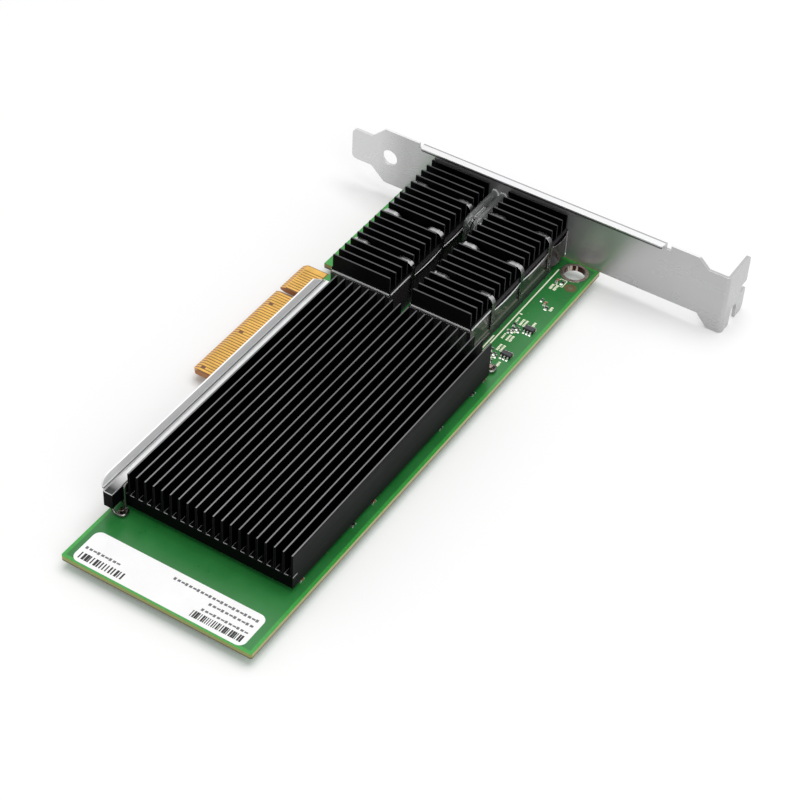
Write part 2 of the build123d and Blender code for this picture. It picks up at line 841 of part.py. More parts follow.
# Main heat sink: plate with long fins, and a solid ledge along the edge connector side
sink_x = near_x + sink_end_gap
sink_end_x = cage_x - sink_cage_gap
sink_length = sink_end_x - sink_x
sink_y = body_y - sink_width
sink_bottom = board_top + sink_lift
sink_floor = sink_bottom + sink_base
ledge_top = sink_bottom + ledge_height
fin_ys = [sink_y + fin_thickness / 2 + i * fin_pitch for i in range(fin_count)]
with BuildPart() as main_heat_sink:
    with BuildSketch(Plane.YZ.offset(sink_x)):
        with Locations((sink_y, sink_bottom)):
            Rectangle(sink_width, sink_base, align=(Align.MIN, Align.MIN))
        with Locations([(y, sink_bottom) for y in fin_ys]):
            Rectangle(fin_thickness, sink_height, align=(Align.CENTER, Align.MIN))
        with Locations((body_y, sink_bottom)):
            Rectangle(ledge_width, ledge_height, align=(Align.MAX, Align.MIN))
    extrude(amount=sink_length)
    fin_tops = main_heat_sink.edges().filter_by(Axis.X).group_by(Axis.Z)[-1]
    chamfer(fin_tops, fin_top_chamfer)
    with BuildSketch(Plane.YZ.offset(sink_x)):
        with Locations((body_y, ledge_top)):
            Rectangle(ledge_reach_width, ledge_reach_height, align=(Align.MAX, Align.MAX))
    extrude(amount=-ledge_reach)
save(main_heat_sink.part, "main_heat_sink")

# Rail: folded strip along the ledge, with a foot and a jogged wall, cut aslant at its far end
rail_x = sink_x - rail_overhang
rail_end_x = sink_end_x + rail_end_overhang
rail_foot_z = ledge_top + rail_sheet / 2
rail_jog_z = rail_foot_z + rail_jog_height
rail_top = rail_foot_z + rail_wall
with BuildPart() as heat_sink_rail:
    with BuildSketch(Plane.YZ.offset(rail_x)):
        with BuildLine():
            FilletPolyline(
                (body_y - rail_foot_width, rail_foot_z),
                (body_y - rail_sheet / 2 - rail_jog, rail_foot_z),
                (body_y - rail_sheet / 2 - rail_jog, rail_jog_z),
                (body_y - rail_sheet / 2, rail_jog_z + rail_jog),
                (body_y - rail_sheet / 2, rail_top),
                radius=rail_fillet,
            )
        trace(line_width=rail_sheet)
    extrude(amount=rail_end_x - rail_x)
    with BuildSketch(Plane.XZ.offset(-body_y)):
        with BuildLine():
            Polyline(
                (rail_end_x - rail_far_slope, rail_top + rail_sheet),
                (rail_end_x + rail_sheet, rail_top + rail_sheet),
                (rail_end_x + rail_sheet, ledge_top + rail_sheet),
                (rail_end_x, ledge_top + rail_sheet),
                close=True,
            )
        make_face()
    extrude(amount=rail_foot_width, mode=Mode.SUBTRACT)
    near_corner = heat_sink_rail.edges().filter_by(Axis.Y).group_by(Axis.X)[0].sort_by(Axis.Z)[-1]
    fillet(near_corner, rail_near_radius)
save(heat_sink_rail.part, "heat_sink_rail")

# Posts on the board, and the wire springs that hold the heat sink's corners from them
near_post = (sink_x - near_post_reach, body_y - near_post_inset)
channel_y = (fin_ys[0] + fin_ys[1]) / 2
far_post = (sink_end_x + far_post_reach, channel_y)
wire_z = board_top + post_flange_height + spring_wire
with BuildPart() as retention_posts:
    with BuildSketch(Plane.XY.offset(board_top)):
        with Locations(near_post, far_post):
            Circle(post_flange_radius)
    extrude(amount=post_flange_height)
    with BuildSketch(Plane.XY.offset(board_top)):
        with Locations(near_post, far_post):
            Circle(post_radius)
    extrude(amount=post_height)
save(retention_posts.part, "retention_posts")

near_hook_z = ledge_top + spring_wire + spring_clearance
far_hook_z = board_top + far_spring_height
near_seat = (sink_x + near_hook_reach, near_post[1], near_hook_z)
far_seat = (sink_end_x - far_hook_reach, far_post[1], sink_floor + spring_wire + spring_clearance)
springs = ((near_post, 1, near_hook_z, near_seat), (far_post, -1, far_hook_z, far_seat))
with BuildPart() as retention_springs:
    for (post_x, post_y), way, hook_z, seat in springs:
        away_x = post_x - way * spring_loop
        sink_side_x = post_x + way * spring_loop
        tail = Vector(away_x, post_y + spring_tail, board_top + spring_tail_height)
        root = Vector(away_x, post_y + spring_loop, wire_z)
        with BuildLine():
            FilletPolyline(
                tail,
                root,
                (away_x, post_y - spring_loop, wire_z),
                (sink_side_x, post_y - spring_loop, wire_z),
                (sink_side_x, post_y, wire_z),
                (sink_side_x, post_y, hook_z),
                seat,
                radius=list(spring_bends),
            )
        with BuildSketch(Plane(origin=tail, z_dir=root - tail)):
            RegularPolygon(spring_wire, spring_wire_sides)
        sweep()
save(retention_springs.part, "retention_springs")

# Controller package, heat spreader and thermal pad, stacked up to the heat sink
package_x = sink_x + package_from_sink_end
package_y = body_y - package_from_body
spreader_bottom = board_top + package_height
pad_bottom = spreader_bottom + spreader_height
stack = (
    ("controller_package", board_top, package_size, package_height),
    ("heat_spreader", spreader_bottom, spreader_size, spreader_height),
    ("thermal_pad", pad_bottom, pad_size, sink_bottom - pad_bottom),
)
for stack_name, level, size, height in stack:
    with BuildPart() as layer:
        with BuildSketch(Plane.XY.offset(level)):
            with Locations((package_x, package_y)):
                RectangleRounded(size, size, stack_corner)
        extrude(amount=height)
    save(layer.part, stack_name)

# Low parts under the heat sink: flash memory, oscillator and inductors
hidden_parts = (
    ("flash_memory", flash_size, flash_places),
    ("oscillator", oscillator_size, oscillator_places),
    ("power_inductors", inductor_size, inductor_places),
)
for hidden_name, (size_x, size_y, height), places in hidden_parts:
    with BuildPart() as hidden:
        with BuildSketch(Plane.XY.offset(board_top)):
            with Locations([(package_x + x, package_y + y) for x, y in places]):
                Rectangle(size_x, size_y)
        extrude(amount=height)
        chamfer(hidden.edges().group_by(Axis.Z)[-1], hidden_chamfer)
    save(hidden.part, hidden_name)

# Decoupling capacitors on the solder side, in a frame under the package
frame_step = package_size / decoupling_count
frame_run = [(i + 0.5) * frame_step - package_size / 2 for i in range(decoupling_count)]
decoupling_places = [(package_x + run, package_y + side * package_size / 2)
                     for run in frame_run for side in (-1, 1)]
with BuildPart() as decoupling:
    with BuildSketch(Plane.XY.offset(board_bottom)):
        with Locations(decoupling_places):
            Rectangle(chip_width, chip_length)
    extrude(amount=-chip_height)
save(decoupling.part, "decoupling_capacitors")

# Label at the near end, left bare
with BuildPart() as label:
    with BuildSketch(Plane.XY.offset(board_top)):
        with Locations((near_x + label_inset, body_y - label_side_inset)):
            RectangleRounded(
                label_length, label_width, label_corner, align=(Align.MIN, Align.MAX)
            )
    extrude(amount=label_thickness)
save(label.part, "label")

# Voltage converters by the far edge, and their bent leads
converter_places = [(bracket_edge_x - x, far_y + ic_from_far_edge) for x in ic_places]
lead_run = [(i - (lead_count - 1) / 2) * lead_pitch for i in range(lead_count)]
body_bottom = board_top + ic_lift
with BuildPart() as converters:
    with BuildSketch(Plane.XY.offset(body_bottom)):
        with Locations(converter_places):
            Rectangle(ic_length, ic_width)
    extrude(amount=ic_height)
    chamfer(converters.edges().group_by(Axis.Z)[-1], ic_chamfer)
save(converters.part, "converter_packages")

with BuildPart() as converter_leads:
    for place_x, place_y in converter_places:
        for way in (-1, 1):
            for run in lead_run:
                side_x = place_x + way * ic_length / 2
                bend_x = side_x + way * lead_length / 2
                foot_x = side_x + way * lead_length
                with BuildSketch(Plane.XZ.offset(-(place_y + run + lead_width / 2))):
                    with BuildLine():
                        Polyline(
                            (side_x, board_top + lead_level),
                            (side_x, board_top + lead_level + lead_thickness),
                            (bend_x + way * lead_thickness, board_top + lead_level + lead_thickness),
                            (bend_x + way * lead_thickness, board_top + lead_thickness),
                            (foot_x, board_top + lead_thickness),
                            (foot_x, board_top),
                            (bend_x, board_top),
                            (bend_x, board_top + lead_level),
                            close=True,
                        )
                    make_face()
                extrude(amount=lead_width)
save(converter_leads.part, "converter_leads")

# Chip capacitors and resistors, given from the board's bracket edge or near end, and far edge
chip_groups = (
    ("chip_capacitors", capacitor_places, near_capacitor_places, chip_height),
    ("chip_resistors", resistor_places, (), resistor_height),
)
for chip_name, places, near_places, height in chip_groups:
    chip_centres = [(bracket_edge_x - x, far_y + y) for x, y in places]
    chip_centres += [(near_x + x, far_y + y) for x, y in near_places]
    with BuildPart() as chips:
        with BuildSketch(Plane.XY.offset(board_top)):
            with Locations(chip_centres):
                Rectangle(chip_length, chip_width)
        extrude(amount=height)
    save(chips.part, chip_name)

# Fiducial pad beside the mounting hole
with BuildPart() as fiducial:
    with BuildSketch(Plane.XY.offset(board_top)):
        with Locations((ring_x - fiducial_from_ring, far_y + fiducial_from_far_edge)):
            Circle(fiducial_radius)
    extrude(amount=fiducial_thickness)
save(fiducial.part, "fiducial")
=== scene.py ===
import json
import math
import bpy
import bmesh
from mathutils import Matrix, Vector


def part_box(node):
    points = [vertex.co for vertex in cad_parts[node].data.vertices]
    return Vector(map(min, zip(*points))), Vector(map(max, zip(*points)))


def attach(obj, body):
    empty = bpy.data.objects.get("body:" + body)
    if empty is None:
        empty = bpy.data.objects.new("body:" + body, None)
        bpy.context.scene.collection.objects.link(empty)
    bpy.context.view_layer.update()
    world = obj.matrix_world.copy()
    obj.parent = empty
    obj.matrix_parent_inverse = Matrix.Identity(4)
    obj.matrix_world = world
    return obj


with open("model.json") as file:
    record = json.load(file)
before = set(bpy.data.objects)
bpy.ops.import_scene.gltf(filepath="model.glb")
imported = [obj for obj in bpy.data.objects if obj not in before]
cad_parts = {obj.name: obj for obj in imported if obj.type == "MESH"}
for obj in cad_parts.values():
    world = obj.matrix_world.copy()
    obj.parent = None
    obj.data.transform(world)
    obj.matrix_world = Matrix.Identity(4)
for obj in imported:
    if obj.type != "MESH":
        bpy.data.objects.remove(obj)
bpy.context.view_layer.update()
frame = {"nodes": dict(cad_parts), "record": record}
nodes = frame["nodes"]

MM = 0.001

# Camera, worked out from the object's known sizes in the photograph
CAMERA_PLACE = Vector((-357.17, -211.77, 389.26)) * MM
CAMERA_HEADING = 30.022
CAMERA_DOWN = 42.922
CAMERA_ROLL = 3.256
CAMERA_LENS = 98.55
CAMERA_SENSOR = 36.0
CAMERA_CLIP = (0.01, 50.0)

# Lamps, world light and floor
KEY_POWER = 19.0
KEY_PLACE = (0.30, -0.10, 1.75)
KEY_SIDE = 1.4
FILL_POWER = 6.0
FILL_PLACE = (-0.85, -1.15, 1.10)
FILL_SIDE = 1.2
WORLD_LEVEL = 0.50
FLOOR_LIFT = 0.06
FLOOR_REACH = 6.0

# Places that the added pieces and the patterns are measured from. Sizes below are in millimetres
board_low, board_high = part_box("circuit_board")
label_low, label_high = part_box("label")
tab_low, tab_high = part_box("edge_contacts_top")
sink_low, sink_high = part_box("main_heat_sink")
pipe_low, pipe_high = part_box("light_pipe")
board_top = label_low.z
NEAR_X = board_low.x
FAR_Y = board_low.y
FINS_FROM_END = 21.10
SINK_BASE = 3.70
BRACKET_SHEET = 0.86
PRINT = 0.02
fins_x = NEAR_X + FINS_FROM_END * MM
sink_floor = sink_low.z + SINK_BASE * MM
plate_x = pipe_high.x - BRACKET_SHEET * MM


def tone(red, green, blue):
    """Screen colour values from 0 to 255 as the linear colour that a shader takes."""
    shares = [value / 255 for value in (red, green, blue)]
    linear = [v / 12.92 if v <= 0.04045 else ((v + 0.055) / 1.055) ** 2.4 for v in shares]
    return (*linear, 1.0)


def darkened(colour, share):
    return tuple(v * share for v in colour[:3]) + (1.0,)


class Finish:
    """A material that is being built from nodes."""

    def __init__(self, name, base, metallic=0.0, roughness=0.5):
        self.material = bpy.data.materials.new(name)
        self.material.use_nodes = True
        self.tree = self.material.node_tree
        self.tree.nodes.clear()
        self.output = self.tree.nodes.new("ShaderNodeOutputMaterial")
        self.shader = self.tree.nodes.new("ShaderNodeBsdfPrincipled")
        self.link(self.shader.outputs[0], self.output.inputs[0])
        self.put("Base Color", base)
        self.put("Metallic", metallic)
        self.put("Roughness", roughness)
        self.places = {}

    def link(self, source, target):
        self.tree.links.new(source, target)

    def put(self, socket, value):
        """Set a shader socket to a value, or feed it from another node."""
        self.feed(self.shader.inputs[socket], value)

    def feed(self, target, value):
        if isinstance(value, bpy.types.NodeSocket):
            self.link(value, target)
        else:
            target.default_value = value

    def node(self, kind, inputs=(), **settings):
        made = self.tree.nodes.new(kind)
        for key, value in settings.items():
            setattr(made, key, value)
        for key, value in dict(inputs).items():
            self.feed(made.inputs[key], value)
        return made

    def place(self, stretch=(1, 1, 1)):
        """Object coordinates, stretched along an axis where a pattern is drawn out."""
        if stretch not in self.places:
            coords = self.node("ShaderNodeTexCoord")
            inputs = {"Vector": coords.outputs["Object"], "Scale": stretch}
            self.places[stretch] = self.node("ShaderNodeMapping", inputs).outputs[0]
        return self.places[stretch]

    def axes(self):
        """The x, y and z of a point in the part's own frame."""
        return self.node("ShaderNodeSeparateXYZ", {0: self.place()}).outputs

    def normal(self):
        """The x, y and z of the way that the surface faces."""
        geometry = self.node("ShaderNodeNewGeometry")
        return self.node("ShaderNodeSeparateXYZ", {0: geometry.outputs["Normal"]}).outputs

    def noise(self, scale, detail=4.0, stretch=(1, 1, 1)):
        inputs = {"Vector": self.place(stretch), "Scale": scale, "Detail": detail, "Roughness": 0.55}
        return self.node("ShaderNodeTexNoise", inputs).outputs["Fac"]

    def scale(self, value, low, high, new_low=0.0, new_high=1.0):
        """Map a range of one value to another, held at the ends."""
        inputs = {
            "Value": value, "From Min": low, "From Max": high, "To Min": new_low, "To Max": new_high,
        }
        return self.node("ShaderNodeMapRange", inputs).outputs[0]

    def math(self, operation, first, second=0.0):
        return self.node("ShaderNodeMath", {0: first, 1: second}, operation=operation).outputs[0]

    def total(self, first, second):
        return self.math("ADD", first, second)

    def above(self, value, limit):
        return self.math("GREATER_THAN", value, limit)

    def below(self, value, limit):
        return self.math("LESS_THAN", value, limit)

    def both(self, first, *others):
        """One where all of the masks are one."""
        for other in others:
            first = self.math("MULTIPLY", first, other)
        return first

    def either(self, first, *others):
        """One where any of the masks is one."""
        for other in others:
            first = self.math("MAXIMUM", first, other)
        return first

    def band(self, value, low, high):
        """One where a value lies between two limits."""
        return self.both(self.above(value, low), self.below(value, high))

    def inside(self, value, low, high, fade):
        """One between two limits, with a soft change at each."""
        rising = self.scale(value, low - fade, low + fade)
        falling = self.scale(value, high - fade, high + fade, 1.0, 0.0)
        return self.both(rising, falling)

    def step(self, value, start, pitch):
        """Share of a pitch that a value has come since the last step."""
        return self.math("FRACT", self.math("DIVIDE", self.math("SUBTRACT", value, start), pitch))

    def blend(self, factor, first, second):
        mixer = self.node("ShaderNodeMix", data_type="RGBA")
        for index, value in ((0, factor), (6, first), (7, second)):
            self.feed(mixer.inputs[index], value)
        return mixer.outputs[2]

    def mottled(self, pattern, first, second, low=0.3, high=0.7):
        """Two colours, mixed as a noise pattern rises."""
        return self.blend(self.scale(pattern, low, high), first, second)

    def upward(self, low=0.6, high=0.9):
        """One on faces that look up, nought on upright ones and on undersides."""
        return self.scale(self.normal()[2], low, high)

    def facing(self, axis, way):
        """One on faces that look along an axis, in the way given by the sign."""
        return self.above(self.math("MULTIPLY", self.normal()[axis], way), 0.7)

    def rounded(self, radius):
        """Normal of the surface with its edges rounded off."""
        return self.node("ShaderNodeBevel", {"Radius": radius}, samples=6).outputs[0]

    def edges(self, radius, sharpness=0.25):
        """One close to an edge of the solid, nought on its open faces."""
        flat = self.node("ShaderNodeNewGeometry").outputs["Normal"]
        inputs = {0: self.rounded(radius), 1: flat}
        dot = self.node("ShaderNodeVectorMath", inputs, operation="DOT_PRODUCT")
        return self.scale(dot.outputs["Value"], 1.0, 1.0 - sharpness)

    def bump(self, height, depth, strength=1.0, normal=None):
        inputs = {"Height": height, "Distance": depth, "Strength": strength}
        if normal is not None:
            inputs["Normal"] = normal
        self.put("Normal", self.node("ShaderNodeBump", inputs).outputs[0])


# Heat sinks: depth of the painted highlight on the fin tops, reach of the edges lightened by wear and painted
# highlight, and the tones of their faces, some of them painted sheen
CREST_HIGHLIGHT_DEPTH = 0.16
WEAR_AND_HIGHLIGHT_BELOW = 0.25
WEAR_AND_HIGHLIGHT_WIDTH = 0.09
SHEEN_SIDE_WIDTH = 0.9
END_FACE = 0.1
SINK_TONE = tone(3, 3, 4)
PORT_END_SHEEN_TONE = tone(14, 14, 15)

# Glints where the main sink's fins stand on its floor, at the near end
FIN_PITCH = 2.50
GLINT_HALF = 0.16
GLINT_START = 0.05
FLOOR_GLINT = 0.20
FLOOR_GLINT_FROM = 0.55
FIN_GLINT = 1.90
GLINT_TONE = tone(176, 176, 178)


def with_glints(made, colour, low):
    """Short light strokes on the floor and on the fins' feet at the near end."""
    x, y, z = made.axes()
    on_floor = made.both(
        made.below(x, fins_x + FLOOR_GLINT * MM), made.upward(0.8, 0.9),
        made.above(made.step(y, low.y, FIN_PITCH * MM), FLOOR_GLINT_FROM),
    )
    on_fin = made.both(made.facing("Y", -1), made.below(x, fins_x + FIN_GLINT * MM))
    height = made.math("ABSOLUTE", made.math("SUBTRACT", z, sink_floor))
    strip = made.both(made.below(height, GLINT_HALF * MM), made.above(x, fins_x - GLINT_START * MM))
    return made.blend(made.both(made.either(on_floor, on_fin), strip), colour, GLINT_TONE)


def anodised(name, node, crest_highlight_near, crest_highlight_far, edge_wear_and_highlight_tone, painted_side_sheen_tone, glints=False):
    """Black anodised aluminium with a painted highlight on the fin tops that is brighter at the near end,
    edges lightened by wear and painted highlight, and painted sheen on the outer side and, on the port sinks,
    the near end.
    """
    low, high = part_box(node)
    made = Finish(name, SINK_TONE)
    drawn = made.noise(900, 3, (0.04, 1, 1))
    grain = made.noise(5200, 2)
    cloud = made.noise(60, 3)
    x, y, z = made.axes()
    # Edges lightened below the fin tops, partly wear and partly painted highlight.
    worn_and_lit_edges = made.both(
        made.edges(WEAR_AND_HIGHLIGHT_WIDTH * MM),
        made.scale(cloud, 0.25, 0.7, 0.5, 1.0),
        made.below(z, high.z - WEAR_AND_HIGHLIGHT_BELOW * MM),
    )
    colour = made.blend(worn_and_lit_edges, SINK_TONE, edge_wear_and_highlight_tone)
    # Painted sheen: the outermost face that looks along -y is lightened.
    outer_side_sheen = made.both(made.below(y, low.y + SHEEN_SIDE_WIDTH * MM), made.facing("Y", -1))
    colour = made.blend(outer_side_sheen, colour, painted_side_sheen_tone)
    if glints:
        colour = with_glints(made, colour, low)
    else:
        # Painted sheen: the near-end face of a port sink is lightened.
        near_end_sheen = made.both(made.facing("X", -1), made.below(x, low.x + END_FACE * MM))
        colour = made.blend(near_end_sheen, colour, PORT_END_SHEEN_TONE)
    # Painted highlight: the fin tops lightened, more at the near end than at the far end.
    painted_crest_highlight = made.both(
        made.above(z, high.z - CREST_HIGHLIGHT_DEPTH * MM),
        made.upward(0.88, 0.96),
        made.scale(cloud, 0.2, 0.6, 0.7, 1.0),
    )
    painted_crest_tone = made.blend(made.scale(x, low.x, high.x), crest_highlight_near, crest_highlight_far)
    made.put("Base Color", made.blend(painted_crest_highlight, colour, painted_crest_tone))
    made.put("Specular IOR Level", 0.04)
    made.put("Roughness", made.scale(made.total(drawn, cloud), 0.6, 1.4, 0.40, 0.56))
    made.bump(made.total(drawn, grain), 0.006 * MM, 0.6, made.rounded(0.06 * MM))
    return made.material


def metal(name, base, roughness, stretch=(1, 1, 1), spots=60, grain=2200, depth=0.004, edge_wear_and_highlight_tone=None,
          round_edge=0.08, painted_side_shade_share=1.0, level=1.0):
    """Metal with a grain, soft clouds and, where asked, edges lightened by wear and painted highlight and
    painted shade on upright faces.
    """
    made = Finish(name, base, level, roughness)
    fine = made.noise(grain, 3, stretch)
    cloud = made.noise(spots, 4)
    cloud_share = 0.82
    colour = made.mottled(cloud, darkened(base, cloud_share), base)
    # Painted shade: upright faces darker than faces that look up.
    if painted_side_shade_share < 1.0:
        side = made.mottled(cloud, darkened(base, cloud_share * painted_side_shade_share), darkened(base, painted_side_shade_share))
        colour = made.blend(made.upward(0.15, 0.75), side, colour)
    # Edges lightened, partly wear and partly painted highlight.
    if edge_wear_and_highlight_tone:
        colour = made.blend(made.edges(round_edge * MM), colour, edge_wear_and_highlight_tone)
    made.put("Base Color", colour)
    smooth, coarse = roughness * 0.78, roughness * 1.25
    made.put("Roughness", made.scale(made.total(fine, cloud), 0.6, 1.4, smooth, coarse))
    made.bump(fine, depth * MM, 0.7, made.rounded(round_edge * MM))
    return made.material


def plastic(name, base, roughness, grain=2600, depth=0.006, round_edge=0.08, painted_top_sheen_tone=None):
    """Moulded plastic or ceramic with a fine grain and softened edges, and where asked painted sheen on faces
    that look up.
    """
    made = Finish(name, base, 0.0, roughness)
    fine = made.noise(grain, 3)
    cloud = made.noise(150, 3)
    lighter = tuple(min(1.0, v * 1.35 + 0.003) for v in base[:3]) + (1.0,)
    colour = made.mottled(cloud, base, lighter, 0.3, 0.75)
    # Painted sheen: faces that look up are lightened.
    if painted_top_sheen_tone:
        colour = made.blend(made.upward(), colour, painted_top_sheen_tone)
    made.put("Base Color", colour)
    made.put("Roughness", made.scale(fine, 0.3, 0.7, roughness * 0.85, roughness * 1.15))
    made.bump(fine, depth * MM, 0.8, made.rounded(round_edge * MM))
    return made.material


# Bracket: where its flange starts and ends from the tongue's tip, and the painted shade and shadow lines
# along the flange
FLANGE_FROM_TIP = (23.85, 100.45)
FLANGE_LIGHT_DEPTH = 0.70
FLANGE_SHADOW_LINE = (0.42, 0.95)
BEND_SHADE_LINE = (-0.36, 0.24)
TONGUE_LIGHT_FADE = (9.0, 18.0)


def bracket_finish():
    """Galvanised sheet with painted light on its tongue, its +y faces and its flange top, edges lightened by
    wear and painted highlight, a painted shadow under its flange and a painted shade line along the flange's
    bend.
    """
    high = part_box("mounting_bracket")[1]
    base = tone(190, 190, 191)
    made = Finish("galvanised_sheet", base, 0.72, 0.28)
    x, y, z = made.axes()
    fine = made.noise(240, 2, (1, 0.3, 1))
    cloud = made.noise(40, 3)
    colour = made.mottled(cloud, tone(184, 184, 185), base)
    # Painted light: the sheet lightened toward the tongue's tip.
    painted_tongue_light = made.scale(y, high.y - TONGUE_LIGHT_FADE[1] * MM, high.y - TONGUE_LIGHT_FADE[0] * MM)
    colour = made.blend(painted_tongue_light, colour, tone(214, 214, 215))
    # Painted light: faces that look along +y are lightened.
    colour = made.blend(made.facing("Y", 1), colour, tone(208, 208, 209))
    # Painted light: faces that look up near the top are lightened.
    painted_flange_top_light = made.both(made.above(z, high.z - FLANGE_LIGHT_DEPTH * MM), made.upward())
    colour = made.blend(painted_flange_top_light, colour, tone(238, 238, 239))
    # Edges lightened, partly wear and partly painted highlight.
    colour = made.blend(made.edges(0.12 * MM), colour, tone(226, 226, 227))
    on_flange = made.band(y, high.y - FLANGE_FROM_TIP[1] * MM, high.y - FLANGE_FROM_TIP[0] * MM)
    # Painted shade: a grey line on the sloped faces of the flange's bend.
    painted_bend_shade = made.band(x, plate_x + BEND_SHADE_LINE[0] * MM, plate_x + BEND_SHADE_LINE[1] * MM)
    painted_bend_shade = made.both(painted_bend_shade, on_flange, made.upward(0.2, 0.4))
    colour = made.blend(painted_bend_shade, colour, tone(166, 166, 168))
    # Painted shadow: a dark band under the flange on the face that looks along -x.
    painted_flange_shadow = made.band(z, high.z - FLANGE_SHADOW_LINE[1] * MM, high.z - FLANGE_SHADOW_LINE[0] * MM)
    colour = made.blend(made.both(painted_flange_shadow, on_flange, made.facing("X", -1)), colour, tone(74, 74, 76))
    made.put("Base Color", colour)
    made.put("Roughness", made.scale(made.total(fine, cloud), 0.6, 1.4, 0.25, 0.31))
    made.bump(fine, 0.0004 * MM, 0.3, made.rounded(0.10 * MM))
    return made.material


# Rail: the level of its jog, the painted shadow line there, and the painted shade on its foot at the near end
RAIL_JOG = 1.25
RAIL_JOG_SHADOW = (-0.10, 0.22)
RAIL_FOOT_SHADE_FADE = (1.5, 8.0)


def rail_finish():
    """Satin strip with painted light: lighter up its wall and on faces that look up, with a painted shadow
    line at its jog and painted shade on its foot at the near end.
    """
    low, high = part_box("heat_sink_rail")
    made = Finish("satin_strip", tone(236, 236, 237), 0.15, 0.42)
    bright = tone(250, 250, 250)
    x, _, z = made.axes()
    drawn = made.noise(1500, 3, (0.05, 1, 1))
    cloud = made.noise(45, 3)
    jog = low.z + RAIL_JOG * MM
    over_jog = made.above(z, jog)
    # Painted light: the wall lighter toward its top, and lighter above the jog than below.
    wall = made.blend(made.scale(z, jog, high.z), tone(232, 232, 233), bright)
    colour = made.blend(over_jog, tone(226, 226, 227), wall)
    # Painted shadow: a dark line along the jog.
    painted_jog_shadow = made.band(z, jog + RAIL_JOG_SHADOW[0] * MM, jog + RAIL_JOG_SHADOW[1] * MM)
    colour = made.blend(painted_jog_shadow, colour, tone(104, 104, 106))
    # Painted shade: the foot dark at the near end, fading to bright along it.
    foot_shade_share = made.scale(x, low.x + RAIL_FOOT_SHADE_FADE[0] * MM, low.x + RAIL_FOOT_SHADE_FADE[1] * MM)
    foot = made.blend(foot_shade_share, tone(44, 44, 45), bright)
    # Faces that look up get painted light, with the painted shade of the foot at the near end.
    made.put("Base Color", made.blend(made.upward(0.7, 0.95), colour, made.blend(over_jog, foot, wall)))
    made.put("Roughness", made.scale(made.total(drawn, cloud), 0.6, 1.4, 0.34, 0.50))
    made.bump(drawn, 0.004 * MM, 0.7, made.rounded(0.08 * MM))
    return made.material


def clear(name):
    """Clear moulded plastic with a painted highlight along its edges, where it is whiter and less clear."""
    made = Finish(name, tone(240, 243, 243), 0.0, 0.06)
    # Painted highlight: white, less clear edges.
    rim = made.edges(0.30 * MM)
    flow = made.noise(160, 2, (0.25, 1, 1))
    made.put("Base Color", made.blend(rim, tone(206, 208, 208), tone(255, 255, 255)))
    made.put("Transmission Weight", made.scale(rim, 0.05, 0.6, 0.90, 0.10))
    made.put("IOR", 1.49)
    made.put("Roughness", made.scale(flow, 0.3, 0.7, 0.03, 0.08))
    made.bump(flow, 0.002 * MM, 0.3, made.rounded(0.10 * MM))
    return made.material


def paper():
    """Coated white label stock."""
    made = Finish("label_paper", tone(246, 246, 246), 0.0, 0.55)
    fibre = made.noise(4200, 4)
    cloud = made.noise(90, 3)
    made.put("Base Color", made.mottled(cloud, tone(243, 243, 243), tone(250, 250, 250)))
    made.bump(fibre, 0.004 * MM, 0.5, made.rounded(0.04 * MM))
    return made.material


def ink(name, colour, thin_share=0.86):
    """Printed ink, slightly uneven where it was laid down."""
    made = Finish(name, colour, 0.0, 0.5)
    patch = made.noise(2400, 3)
    made.put("Base Color", made.mottled(patch, darkened(colour, thin_share), colour, 0.35, 0.65))
    made.put("Roughness", made.scale(patch, 0.3, 0.7, 0.42, 0.58))
    made.bump(patch, 0.003 * MM, 0.6)
    return made.material


# Board: the margin without copper, the edge connector's gold lines and the bands of its edge
COPPER_MARGIN = 0.95
COPPER_FADE = 0.16
TAB_MARGIN = 0.25
TAB_END_MARGIN = 1.2
CONTACT_PITCH = 1.00
CONTACT_SHARE = 0.70
CONTACT_TAIL = 0.3
EDGE_FADE = (0.85, 1.15)
NEAR_EDGE = 0.4
EAR_EDGE = 0.9


